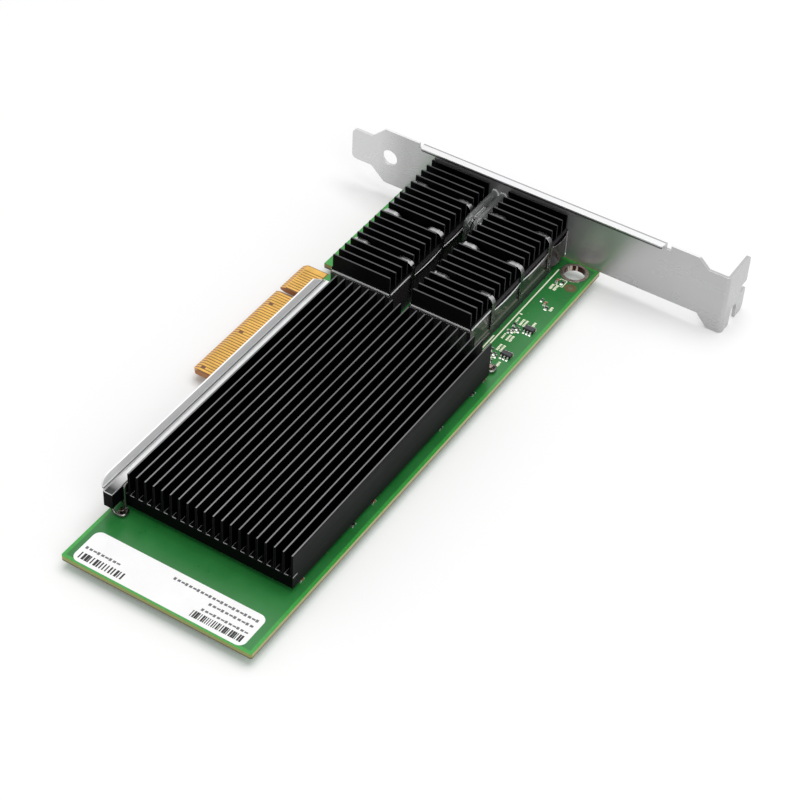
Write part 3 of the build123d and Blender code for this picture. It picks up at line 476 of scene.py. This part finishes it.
def board_finish():
    """Green solder mask over copper, paler where the copper stops short of the laminate edge."""
    made = Finish("solder_mask", tone(34, 112, 50), 0.0, 0.30)
    x, y, z = made.axes()
    cloud = made.noise(55, 4)
    weave = made.noise(1600, 2)

    margin = COPPER_MARGIN * MM
    fade = COPPER_FADE * MM
    body = made.both(
        made.inside(x, board_low.x + margin, board_high.x - margin, fade),
        made.inside(y, board_low.y + margin, sink_high.y - margin, fade),
    )
    copper = made.mottled(cloud, tone(30, 108, 46), tone(40, 124, 56))
    bare = made.mottled(weave, tone(46, 150, 54), tone(60, 164, 66))
    mask = made.blend(body, bare, copper)

    on_tab = made.both(
        made.above(y, tab_low.y - TAB_MARGIN * MM), made.below(x, tab_high.x + TAB_END_MARGIN * MM)
    )
    gap_tone = made.mottled(weave, tone(104, 62, 22), tone(128, 78, 30))
    striped = made.both(
        made.below(made.step(x, tab_low.x, CONTACT_PITCH * MM), CONTACT_SHARE),
        made.above(y, tab_high.y - CONTACT_TAIL * MM),
    )
    face = made.blend(on_tab, mask, made.blend(striped, gap_tone, tone(226, 170, 84)))

    wave_inputs = {"Vector": made.place(), "Scale": 900.0, "Distortion": 1.5}
    layers = made.node("ShaderNodeTexWave", wave_inputs, bands_direction="Z").outputs["Fac"]
    edge_low = made.blend(layers, tone(92, 74, 44), tone(112, 92, 54))
    edge_high = made.blend(layers, tone(150, 142, 70), tone(180, 172, 98))
    high_on_edge = made.scale(z, board_top - EDGE_FADE[1] * MM, board_top - EDGE_FADE[0] * MM)
    edge_plain = made.blend(high_on_edge, edge_low, edge_high)
    near_edge = made.both(made.below(x, NEAR_X + NEAR_EDGE * MM), high_on_edge)
    olive = made.either(near_edge, made.above(y, tab_high.y + EAR_EDGE * MM))
    edge_plain = made.blend(olive, edge_plain, tone(134, 148, 52))
    edge_gold = made.blend(layers, tone(150, 88, 30), tone(196, 124, 50))
    edge = made.blend(on_tab, edge_plain, edge_gold)

    level = made.math("ABSOLUTE", made.normal()[2])
    made.put("Base Color", made.blend(made.scale(level, 0.35, 0.55, 1.0, 0.0), face, edge))
    made.put("Roughness", made.scale(cloud, 0.3, 0.7, 0.24, 0.38))
    made.put("Coat Weight", 0.2)
    made.put("Coat Roughness", 0.2)
    made.bump(made.total(weave, cloud), 0.006 * MM, 0.5, made.rounded(0.08 * MM))
    return made.material


def ring_finish():
    """Tinned ring, browned by flux inside its barrel, with pale streaks down the wall that are partly runs of
    solder and partly painted reflection.
    """
    made = Finish("ring_plate", tone(198, 178, 168), 1.0, 0.24)
    runs = made.noise(900, 3, (1, 1, 0.12))
    cloud = made.noise(500, 3)
    rim = made.mottled(cloud, tone(168, 144, 134), tone(206, 190, 180))
    # Pale streaks on the barrel wall: partly runs of solder, partly painted reflection.
    wall = made.mottled(runs, tone(70, 42, 36), tone(232, 218, 206), 0.52, 0.60)
    made.put("Base Color", made.blend(made.upward(0.3, 0.7), wall, rim))
    made.put("Roughness", made.scale(cloud, 0.3, 0.7, 0.18, 0.34))
    made.bump(made.total(runs, cloud), 0.03 * MM, 0.8, made.rounded(0.10 * MM))
    return made.material


def floor_finish():
    """White floor that keeps the shadow, lifted a little where the camera, metal or glass sees it."""
    made = Finish("studio_floor", tone(241, 241, 241), 0.0, 0.9)
    rays = made.node("ShaderNodeLightPath").outputs
    seen = made.either(rays["Is Camera Ray"], rays["Is Glossy Ray"], rays["Is Transmission Ray"])
    made.put("Specular IOR Level", 0.0)
    made.put("Emission Color", (1.0, 1.0, 1.0, 1.0))
    made.put("Emission Strength", made.math("MULTIPLY", seen, FLOOR_LIFT))
    return made.material


# Materials of the carried-over nodes
# Heat sink tones, here and in the port tones below: painted highlight on the fin tops near and far, edges
# lightened by wear and painted highlight, painted sheen on the outer side.
sink_finish = anodised(
    "black_anodised", "main_heat_sink", tone(142, 142, 144), tone(106, 106, 108), tone(84, 84, 86),
    tone(26, 26, 27), glints=True,
)
port_highlight_and_sheen_tones = (tone(96, 96, 98), tone(86, 86, 88), tone(60, 60, 62), tone(52, 52, 54))
port_finishes = {
    f"port_{port}_heat_sink": anodised(f"port_{port}_anodised", f"port_{port}_heat_sink", *port_highlight_and_sheen_tones)
    for port in (1, 2)
}
# Cage: painted shade on upright walls; edges lightened, partly wear and partly painted highlight.
cage_metal = metal(
    "cage_plate", tone(64, 60, 63), 0.14, stretch=(0.3, 1, 1), spots=160, grain=220, depth=0.0015,
    edge_wear_and_highlight_tone=tone(240, 239, 240), round_edge=0.09, painted_side_shade_share=0.86, level=0.20,
)
# Clip: strong painted shade on upright faces, so that the tops look lit; edges lightened, partly wear and
# partly painted highlight.
clip_metal = metal(
    "clip_spring_steel", tone(188, 188, 189), 0.24, stretch=(1, 0.2, 1), spots=160, grain=1800, depth=0.003,
    edge_wear_and_highlight_tone=tone(236, 236, 237), round_edge=0.07, painted_side_shade_share=0.24,
)
screw_metal = metal(
    "zinc_plate", tone(176, 177, 180), 0.28, spots=240, grain=2400, depth=0.005, edge_wear_and_highlight_tone=tone(222, 223, 225)
)
wire_metal = metal(
    "drawn_wire", tone(128, 126, 124), 0.20, stretch=(1, 1, 0.1), spots=200, grain=2600, depth=0.003,
    round_edge=0.30,
)
tin = metal(
    "tin_plate", tone(226, 226, 220), 0.30, spots=420, grain=3200, depth=0.006, edge_wear_and_highlight_tone=tone(240, 240, 236)
)
fiducial_metal = metal("fiducial_copper", tone(136, 140, 112), 0.40, spots=420, grain=3200)
gold = metal(
    "contact_gold", tone(236, 188, 100), 0.34, stretch=(1, 0.08, 1), spots=300, grain=3000, depth=0.002
)
nickel = metal(
    "nickel_plate", tone(176, 174, 168), 0.30, spots=200, grain=2600, edge_wear_and_highlight_tone=tone(214, 212, 206)
)
epoxy = plastic(
    "moulded_epoxy", tone(14, 14, 15), 0.55, grain=3600, depth=0.010, round_edge=0.05,
    painted_top_sheen_tone=tone(62, 62, 66),
)
finishes = {
    "solder_mask": board_finish(),
    "contact_gold": gold,
    "ring_tin": ring_finish(),
    "bracket_steel": bracket_finish(),
    "screw_steel": screw_metal,
    "cage_steel": cage_metal,
    "clip_steel": clip_metal,
    "connector_black": plastic("connector_plastic", tone(20, 20, 21), 0.42),
    "sink_black": sink_finish,
    "rail_steel": rail_finish(),
    "spring_steel": wire_metal,
    "pipe_clear": clear("clear_plastic"),
    "light_pale": plastic("lamp_lens", tone(236, 236, 214), 0.30),
    "package_green": plastic("package_laminate", tone(36, 84, 52), 0.40),
    "spreader_nickel": nickel,
    "pad_grey": plastic("thermal_pad_rubber", tone(150, 154, 160), 0.75),
    "package_black": epoxy,
    "lead_tin": tin,
    "can_nickel": nickel,
    "inductor_grey": plastic("pressed_ferrite", tone(58, 58, 60), 0.62, grain=2800, depth=0.014),
    "capacitor_tan": plastic("capacitor_ceramic", tone(150, 92, 62), 0.40, round_edge=0.05),
    "resistor_black": plastic("resistor_ceramic", tone(34, 32, 34), 0.34, round_edge=0.05),
    "label_white": paper(),
    "fiducial_tin": fiducial_metal,
}
for subpart in frame["record"]["subparts"]:
    node_name = subpart["node"]
    slots = nodes[node_name].data.materials
    slots.clear()
    slots.append(port_finishes.get(node_name, finishes[subpart["material_slot"]]))

# Materials of the added pieces
painted_highlight_bead_metal = metal(
    "clip_rail_painted_highlight", tone(232, 232, 233), 0.22, stretch=(0.2, 1, 1), spots=200, grain=1800, depth=0.002,
    round_edge=0.05,
)
painted_highlight_edge_metal = metal(
    "cage_edge_painted_highlight", tone(244, 244, 245), 0.40, spots=300, grain=900, depth=0.001, round_edge=0.02, level=0.3
)
foot_metal = metal(
    "cage_foot_plate", tone(52, 52, 53), 0.40, spots=300, grain=900, depth=0.001, round_edge=0.02, level=0.2
)
silk_ink = ink("silkscreen_ink", tone(255, 255, 228), 0.95)
laminate = ink("bare_laminate", tone(98, 84, 48))
bar_ink = ink("bar_ink", tone(8, 8, 9))
dash_ink = ink("dash_ink", tone(108, 108, 110))


def solids(node):
    """Lowest and highest corner of each separate solid of a node."""
    mesh = bmesh.new()
    mesh.from_mesh(nodes[node].data)
    bmesh.ops.remove_doubles(mesh, verts=mesh.verts, dist=0.0005 * MM)
    mesh.verts.index_update()
    seen = set()
    found = []
    for start in mesh.verts:
        if start.index in seen:
            continue
        seen.add(start.index)
        waiting = [start]
        corners = []
        while waiting:
            vertex = waiting.pop()
            corners.append(vertex.co.copy())
            for edge in vertex.link_edges:
                other = edge.other_vert(vertex)
                if other.index not in seen:
                    seen.add(other.index)
                    waiting.append(other)
        found.append(tuple(Vector(map(pick, zip(*corners))) for pick in (min, max)))
    mesh.free()
    return found


def slab(mesh, low, high):
    """Add a box between two corners."""
    size = [b - a for a, b in zip(low, high)]
    centre = [(a + b) / 2 for a, b in zip(low, high)]
    matrix = Matrix.Translation(centre) @ Matrix.Diagonal((*size, 1.0))
    bmesh.ops.create_cube(mesh, size=1.0, matrix=matrix)


def print_on_board(mesh, x0, y0, x1, y1):
    """Add a thin printed mark on the board's top."""
    slab(mesh, (x0, y0, board_top), (x1, y1, board_top + PRINT * MM))


def circle(mesh, x, y, z, radius, sides):
    angles = [2 * math.pi * i / sides for i in range(sides)]
    return [mesh.verts.new((x + radius * math.cos(a), y + radius * math.sin(a), z)) for a in angles]


def washer(mesh, x, y, outer, inner, sides):
    """Add a thin washer on the board's top."""
    levels = (board_top, board_top + PRINT * MM)
    rims = [circle(mesh, x, y, z, outer, sides) for z in levels]
    holes = [circle(mesh, x, y, z, inner, sides) for z in levels]
    for i in range(sides):
        j = (i + 1) % sides
        mesh.faces.new((rims[0][i], rims[0][j], rims[1][j], rims[1][i]))
        mesh.faces.new((holes[0][j], holes[0][i], holes[1][i], holes[1][j]))
        mesh.faces.new((rims[1][i], rims[1][j], holes[1][j], holes[1][i]))
        mesh.faces.new((rims[0][j], rims[0][i], holes[0][i], holes[0][j]))


def tube(mesh, rows, sides=10):
    """Add a tube along the x axis through rows of a centre and a radius."""
    angles = [2 * math.pi * k / sides for k in range(sides)]
    rings = []
    for (x, y, z), radius in rows:
        places = [(x, y + radius * math.cos(a), z + radius * math.sin(a)) for a in angles]
        rings.append([mesh.verts.new(place) for place in places])
    for first, second in zip(rings, rings[1:]):
        for k in range(sides):
            after = (k + 1) % sides
            mesh.faces.new((first[k], first[after], second[after], second[k]))
    mesh.faces.new(rings[0])
    mesh.faces.new(list(reversed(rings[-1])))


def wedge(mesh, x_wall, x_toe, y0, y1, height, toe_height=0.06):
    """Add a solder fillet that leans from its toe on the board up to a wall."""
    low = board_top
    rise = [(x_wall, low), (x_toe, low), (x_toe, low + toe_height * MM), (x_wall, low + height)]
    sides = [[mesh.verts.new((x, y, z)) for x, z in rise] for y in (y0, y1)]
    for i in range(4):
        j = (i + 1) % 4
        mesh.faces.new((sides[0][i], sides[0][j], sides[1][j], sides[1][i]))
    mesh.faces.new(list(reversed(sides[0])))
    mesh.faces.new(sides[1])


def add_piece(name, slot, finish, draw, *details):
    """Draw a mesh and carry it on the card, with the finish given; the material slot is not used."""
    mesh = bmesh.new()
    draw(mesh, *details)
    bmesh.ops.recalc_face_normals(mesh, faces=mesh.faces)
    data = bpy.data.meshes.new(name)
    mesh.to_mesh(data)
    mesh.free()
    data.materials.append(finish)
    made = bpy.data.objects.new(name, data)
    bpy.context.scene.collection.objects.link(made)
    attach(made, "root")


def spot(near, far):
    """A place on the board, in millimetres from its near end and its far edge."""
    return NEAR_X + near * MM, FAR_Y + far * MM


# Silkscreen: lines along the port cages, a chip's outline, corner marks and short tick rows
LINE_WIDTH = 0.40
CAGE_LINES = ((118.0, 162.0, 9.80), (114.0, 127.8, 10.60))
CHIP_FRAME = (155.75, 158.75, 5.35, 7.35)
CORNER_MARKS = ((135.90, 2.30), (123.65, 2.30))
CORNER_MARK_REACH = 1.60
TICK_ROWS = (
    (153.30, 155.70, 6.20, 7.05, 5), (153.30, 155.70, 7.40, 8.25, 5), (145.00, 146.90, 2.75, 3.60, 4),
    (135.30, 138.20, 5.60, 6.35, 5), (135.30, 138.20, 6.65, 7.40, 5), (136.40, 138.70, 3.40, 4.20, 4),
    (135.90, 138.20, 8.25, 8.85, 4), (127.90, 130.60, 5.60, 6.30, 5), (127.90, 130.60, 6.55, 7.25, 5),
    (127.90, 130.40, 8.05, 8.65, 4), (123.10, 126.00, 5.60, 6.35, 5), (123.10, 126.00, 6.65, 7.40, 5),
    (117.50, 119.60, 3.40, 4.20, 4), (139.30, 139.90, 8.50, 9.40, 1), (131.60, 132.40, 6.30, 8.90, 2),
    (119.40, 120.10, 6.30, 8.90, 2),
)
TICK_SHARE = 0.70
TICK_SHORTER = 0.22


def draw_silkscreen(mesh):
    half = LINE_WIDTH / 2
    fine = LINE_WIDTH / 4
    for start, end, level in CAGE_LINES:
        print_on_board(mesh, *spot(start, level - half), *spot(end, level + half))
    x0, x1, y0, y1 = CHIP_FRAME
    for x in (x0, x1):
        print_on_board(mesh, *spot(x - fine, y0), *spot(x + fine, y1))
    for y in (y0, y1):
        print_on_board(mesh, *spot(x0, y - fine), *spot(x1, y + fine))
    for x, y in CORNER_MARKS:
        print_on_board(mesh, *spot(x - CORNER_MARK_REACH, y - fine), *spot(x, y + fine))
        print_on_board(mesh, *spot(x - fine, y), *spot(x + fine, y + CORNER_MARK_REACH / 2))
    for start, end, low, high, count in TICK_ROWS:
        pitch = (end - start) / count
        for i in range(count):
            x = start + i * pitch
            shorter = TICK_SHORTER * (high - low) * ((3 * i + 1) % 4) / 3
            print_on_board(mesh, *spot(x, low + shorter), *spot(x + pitch * TICK_SHARE, high))


# The smallest chips, the tinned ends and solder of all chips, and the solder at the converters' leads
CAP_LENGTH = 0.24
CAP_GROWTH = 0.02
PAD_REACH = 0.38
PAD_SIDE = 0.08
FILLET_SHARE = 0.6
SMALL_CHIPS = (
    (133.60, 6.75), (132.90, 5.90), (131.90, 7.20), (131.30, 8.10), (121.35, 6.75), (120.65, 5.90),
    (119.70, 7.20), (119.00, 8.00), (147.70, 7.10), (118.30, 6.10),
)
SMALL_CHIP_SIZE = (1.00, 0.50, 0.35)
LEAD_SOLDER_REACH = 0.45
LEAD_SOLDER_SIDE = 0.10
LEAD_SOLDER_HEIGHT = 0.12
LEAD_SOLDER_TOE = 0.03


def small_chip_boxes():
    """Boxes of the smallest chips, which only the scene has."""
    length, width, height = (v * MM for v in SMALL_CHIP_SIZE)
    boxes = []
    for near, far in SMALL_CHIPS:
        x, y = spot(near, far)
        low = Vector((x - length / 2, y - width / 2, board_top))
        boxes.append((low, low + Vector((length, width, height))))
    return boxes


def draw_small_chips(mesh):
    for low, high in small_chip_boxes():
        slab(mesh, low, high)


def draw_terminals(mesh):
    growth = CAP_GROWTH * MM
    side = PAD_SIDE * MM
    for low, high in solids("chip_capacitors") + solids("chip_resistors") + small_chip_boxes():
        for x_end, way in ((low.x, 1), (high.x, -1)):
            inner = x_end + way * CAP_LENGTH * MM
            outer = x_end - way * growth
            toe = x_end - way * PAD_REACH * MM
            cap_low = (min(inner, outer), low.y - growth, board_top)
            slab(mesh, cap_low, (max(inner, outer), high.y + growth, high.z + growth))
            wedge(mesh, outer, toe, low.y - side, high.y + side, FILLET_SHARE * (high.z - low.z))


def draw_lead_solder(mesh):
    bodies = solids("converter_packages")
    side = LEAD_SOLDER_SIDE * MM
    for low, high in solids("converter_leads"):
        middle = low.x + high.x
        body = min(bodies, key=lambda box: abs(box[0].x + box[1].x - middle))
        way = 1 if middle > body[0].x + body[1].x else -1
        foot = high.x if way > 0 else low.x
        toe = foot + way * LEAD_SOLDER_REACH * MM
        wedge(mesh, foot, toe, low.y - side, high.y + side, LEAD_SOLDER_HEIGHT * MM, LEAD_SOLDER_TOE)


# Vias, the clearing round the fiducial, and the wide last contact of the edge connector
VIAS = (
    (145.55, 8.60), (140.90, 7.60), (128.60, 9.10), (114.60, 4.60), (74.90, 3.90), (60.20, 3.60),
    (36.50, 3.20),
)
VIA_RADIUS = 0.20
VIA_HOLE = 0.09
VIA_SIDES = 16
CLEARING_RADIUS = 1.70
CLEARING_SIDES = 40
LAST_CONTACT_GROWTH = 0.25
LAST_CONTACT_SHORT = 0.5


def draw_vias(mesh):
    for near, far in VIAS:
        washer(mesh, *spot(near, far), VIA_RADIUS * MM, VIA_HOLE * MM, VIA_SIDES)


def draw_clearing(mesh):
    low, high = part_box("fiducial")
    x, y = (low.x + high.x) / 2, (low.y + high.y) / 2
    washer(mesh, x, y, CLEARING_RADIUS * MM, (high.x - low.x) / 2, CLEARING_SIDES)


def draw_wide_contact(mesh):
    (_, before_high), (low, high) = sorted(solids("edge_contacts_top"), key=lambda box: box[0].x)[-2:]
    slab(mesh, (before_high.x, low.y, low.z), (low.x, high.y, high.z))
    outer = (high.x + LAST_CONTACT_GROWTH * MM, high.y - LAST_CONTACT_SHORT * MM, high.z)
    slab(mesh, (high.x, low.y, low.z), outer)


# Rolled edges of the clips' side rails, partly real edge and partly painted highlight: thickened and in a
# light metal
RAIL_LEVEL = 8.75
RAIL_FROM_END = ((1.50, 15.995), (16.745, 30.52))
BEAD_ROWS = 24
BEAD_RADIUS = 0.24
BEAD_END_SHARE = 0.55
BEAD_INSET = 0.20
BEAD_BOW = 0.30
BEAD_SINK = 0.12


def draw_beads(mesh, port):
    low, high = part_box(f"port_{port}_clip")
    for side_y, way in ((low.y + BEAD_INSET * MM, -1), (high.y - BEAD_INSET * MM, 1)):
        for from_end in RAIL_FROM_END:
            start, end = (high.x - v * MM for v in from_end)
            rows = []
            for i in range(BEAD_ROWS + 1):
                share = i / BEAD_ROWS
                bow = 4 * share * (1 - share)
                x = start + (end - start) * share
                y = side_y + way * (BEAD_BOW * bow - BEAD_SINK) * MM
                radius = BEAD_RADIUS * MM * (BEAD_END_SHARE + (1 - BEAD_END_SHARE) * bow)
                rows.append(((x, y, board_top + RAIL_LEVEL * MM), radius))
            tube(mesh, rows)


# The black apron under the ledge that carries the rail
APRON_WIDTH = 2.60
APRON_LEVEL = 2.80
APRON_HEIGHT = 2.80
APRON_REACH = 4.20


def draw_apron(mesh):
    base = board_top + APRON_LEVEL * MM
    low = (fins_x - APRON_REACH * MM, sink_high.y - APRON_WIDTH * MM, base)
    slab(mesh, low, (fins_x, sink_high.y, base + APRON_HEIGHT * MM))


# Lips of the port cages, and the plate that joins them
CAGE_HALF = 9.45
LIP_INSET = 0.40
LIP_HEIGHT = 0.24
LIP_OVERLAP = 0.1
LIP_OVERHANG = 0.13
FOOT_REACH = 0.22
FOOT_HEIGHT = 0.30
FOOT_SHORT = 12.0
BRIDGE_THICKNESS = 0.12


def draw_cage_lips(mesh):
    """Rolled edges of the cages' tops, behind and beside their heat sinks, in near-white metal that paints
    their highlight.
    """
    inset = LIP_INSET * MM
    overhang = LIP_OVERHANG * MM
    half = CAGE_HALF * MM
    for port in (1, 2):
        low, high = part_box(f"port_{port}_cage")
        sink_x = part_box(f"port_{port}_heat_sink")[0].x
        arm_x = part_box(f"port_{port}_clip")[0].x
        middle = (low.y + high.y) / 2
        base = high.z - LIP_OVERLAP * MM
        top = high.z + LIP_HEIGHT * MM
        back = (low.x - overhang, middle - half + inset, base)
        slab(mesh, back, (sink_x, middle + half - inset, top))
        for side in (middle - half, middle + half):
            slab(mesh, (low.x + inset, side - overhang, base), (arm_x, side + overhang, top))


def draw_cage_feet(mesh):
    """Lips at the feet of the cages' walls."""
    half = CAGE_HALF * MM
    reach = FOOT_REACH * MM
    top = board_top + FOOT_HEIGHT * MM
    for port in (1, 2):
        low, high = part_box(f"port_{port}_cage")
        middle = (low.y + high.y) / 2
        for side in (middle - half - reach, middle + half):
            slab(mesh, (low.x, side, board_top), (high.x - FOOT_SHORT * MM, side + reach, top))


def draw_cage_bridge(mesh):
    """Plate that joins the two cages at the board, as far as the light pipe."""
    low_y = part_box("port_2_cage")[1].y
    high_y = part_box("port_1_cage")[0].y
    top = board_top + BRIDGE_THICKNESS * MM
    slab(mesh, (sink_high.x, low_y, board_top), (pipe_low.x, high_y, top))


# Plain bars and dashes in the place of the label's print. Each row spans two distances from the label's near
# edge and two from its end beside the edge connector, and has a number of marks
BAR_GROUPS = ((1.05, 3.20, 1.30, 14.50, 15), (1.10, 3.20, 34.00, 48.50, 24))
BAR_SHARES = (0.40, 0.74, 0.44, 0.92, 0.54, 0.80, 0.38)
DASH_LINES = (
    (4.35, 5.30, 1.00, 11.40, 9), (8.15, 9.10, 24.20, 48.90, 22), (6.15, 7.05, 35.80, 48.70, 11),
    (3.90, 4.75, 35.30, 48.70, 12),
)
DASH_SHARES = (0.62, 0.74, 0.86)
DASH_INSETS = (0.04, 0.14, 0.24)


def print_on_label(mesh, x0, x1, y0, y1):
    low = (label_low.x + x0 * MM, label_high.y - y1 * MM, label_high.z)
    slab(mesh, low, (label_low.x + x1 * MM, label_high.y - y0 * MM, label_high.z + PRINT * MM))


def draw_bars(mesh):
    for x0, x1, y0, y1, count in BAR_GROUPS:
        pitch = (y1 - y0) / count
        for i in range(count):
            y = y0 + i * pitch
            share = BAR_SHARES[(i * 5 + i // 3) % len(BAR_SHARES)]
            print_on_label(mesh, x0, x1, y, y + pitch * share)


def draw_dashes(mesh):
    for x0, x1, y0, y1, count in DASH_LINES:
        pitch = (y1 - y0) / count
        for i in range(count):
            y = y0 + i * pitch
            inset = DASH_INSETS[i % 3] * (x1 - x0)
            print_on_label(mesh, x0 + inset, x1 - inset, y, y + pitch * DASH_SHARES[i % 3])


add_piece("silkscreen", "label_white", silk_ink, draw_silkscreen)
add_piece("chip_terminals", "lead_tin", tin, draw_terminals)
add_piece("small_chips", "resistor_black", finishes["resistor_black"], draw_small_chips)
add_piece("lead_solder", "lead_tin", tin, draw_lead_solder)
add_piece("vias", "fiducial_tin", fiducial_metal, draw_vias)
add_piece("fiducial_clearing", "solder_mask", laminate, draw_clearing)
add_piece("wide_contact", "contact_gold", gold, draw_wide_contact)
# Painted highlight: light beads along the clips' rail edges.
add_piece("port_1_clip_beads", "clip_steel", painted_highlight_bead_metal, draw_beads, 1)
add_piece("port_2_clip_beads", "clip_steel", painted_highlight_bead_metal, draw_beads, 2)
add_piece("ledge_apron", "sink_black", sink_finish, draw_apron)
# Painted highlight: the cage lips are near white, the cage itself dark.
add_piece("cage_lips", "cage_steel", painted_highlight_edge_metal, draw_cage_lips)
add_piece("cage_feet", "cage_steel", foot_metal, draw_cage_feet)
add_piece("cage_bridge", "cage_steel", cage_metal, draw_cage_bridge)
add_piece("label_bars", "label_white", bar_ink, draw_bars)
add_piece("label_dashes", "label_white", dash_ink, draw_dashes)


def lamp(name, place, side, power):
    """A soft square lamp that points at the card."""
    data = bpy.data.lights.new(name, "AREA")
    data.shape = "RECTANGLE"
    data.size, data.size_y = side, side
    data.energy = power
    made = bpy.data.objects.new(name, data)
    made.location = place
    made.rotation_euler = (-Vector(place)).to_track_quat("-Z", "Y").to_euler()
    bpy.context.scene.collection.objects.link(made)


def build_floor():
    mesh = bpy.data.meshes.new("studio_floor")
    corners = [(x * FLOOR_REACH, y * FLOOR_REACH, 0) for x, y in ((-1, -1), (1, -1), (1, 1), (-1, 1))]
    mesh.from_pydata(corners, [], [(0, 1, 2, 3)])
    mesh.materials.append(floor_finish())
    floor = bpy.data.objects.new("studio_floor", mesh)
    bpy.context.scene.collection.objects.link(floor)


def build_world():
    """White world at a plain level, and at full white where the camera, metal or glass sees it."""
    world = bpy.data.worlds.new("studio_world")
    bpy.context.scene.world = world
    world.use_nodes = True
    tree = world.node_tree
    tree.nodes.clear()
    rays = tree.nodes.new("ShaderNodeLightPath").outputs
    seen = rays["Is Camera Ray"]
    for ray in ("Is Glossy Ray", "Is Transmission Ray"):
        either = tree.nodes.new("ShaderNodeMath")
        either.operation = "MAXIMUM"
        tree.links.new(seen, either.inputs[0])
        tree.links.new(rays[ray], either.inputs[1])
        seen = either.outputs[0]
    strength = tree.nodes.new("ShaderNodeMapRange")
    strength.inputs["To Min"].default_value = WORLD_LEVEL
    strength.inputs["To Max"].default_value = 1.0
    background = tree.nodes.new("ShaderNodeBackground")
    background.inputs["Color"].default_value = (1, 1, 1, 1)
    output = tree.nodes.new("ShaderNodeOutputWorld")
    tree.links.new(seen, strength.inputs["Value"])
    tree.links.new(strength.outputs[0], background.inputs["Strength"])
    tree.links.new(background.outputs[0], output.inputs[0])


def build_camera():
    """Camera at the photograph's place and angle."""
    heading, down, roll = (math.radians(v) for v in (CAMERA_HEADING, CAMERA_DOWN, CAMERA_ROLL))
    level = Vector((math.cos(heading), math.sin(heading), 0))
    forward = level * math.cos(down) - Vector((0, 0, math.sin(down)))
    level_right = Vector((math.sin(heading), -math.cos(heading), 0))
    level_up = level_right.cross(forward)
    right = level_right * math.cos(roll) + level_up * math.sin(roll)
    up = right.cross(forward)
    data = bpy.data.cameras.new("photo_camera")
    data.lens = CAMERA_LENS
    data.sensor_width = CAMERA_SENSOR
    data.clip_start, data.clip_end = CAMERA_CLIP
    made = bpy.data.objects.new("photo_camera", data)
    turn = Matrix((right, up, -forward)).transposed().to_4x4()
    made.matrix_world = Matrix.Translation(CAMERA_PLACE) @ turn
    bpy.context.scene.collection.objects.link(made)
    bpy.context.scene.camera = made


build_floor()
build_world()
lamp("key_lamp", KEY_PLACE, KEY_SIDE, KEY_POWER)
lamp("fill_lamp", FILL_PLACE, FILL_SIDE, FILL_POWER)
build_camera()
bpy.context.scene.view_settings.view_transform = "Standard"
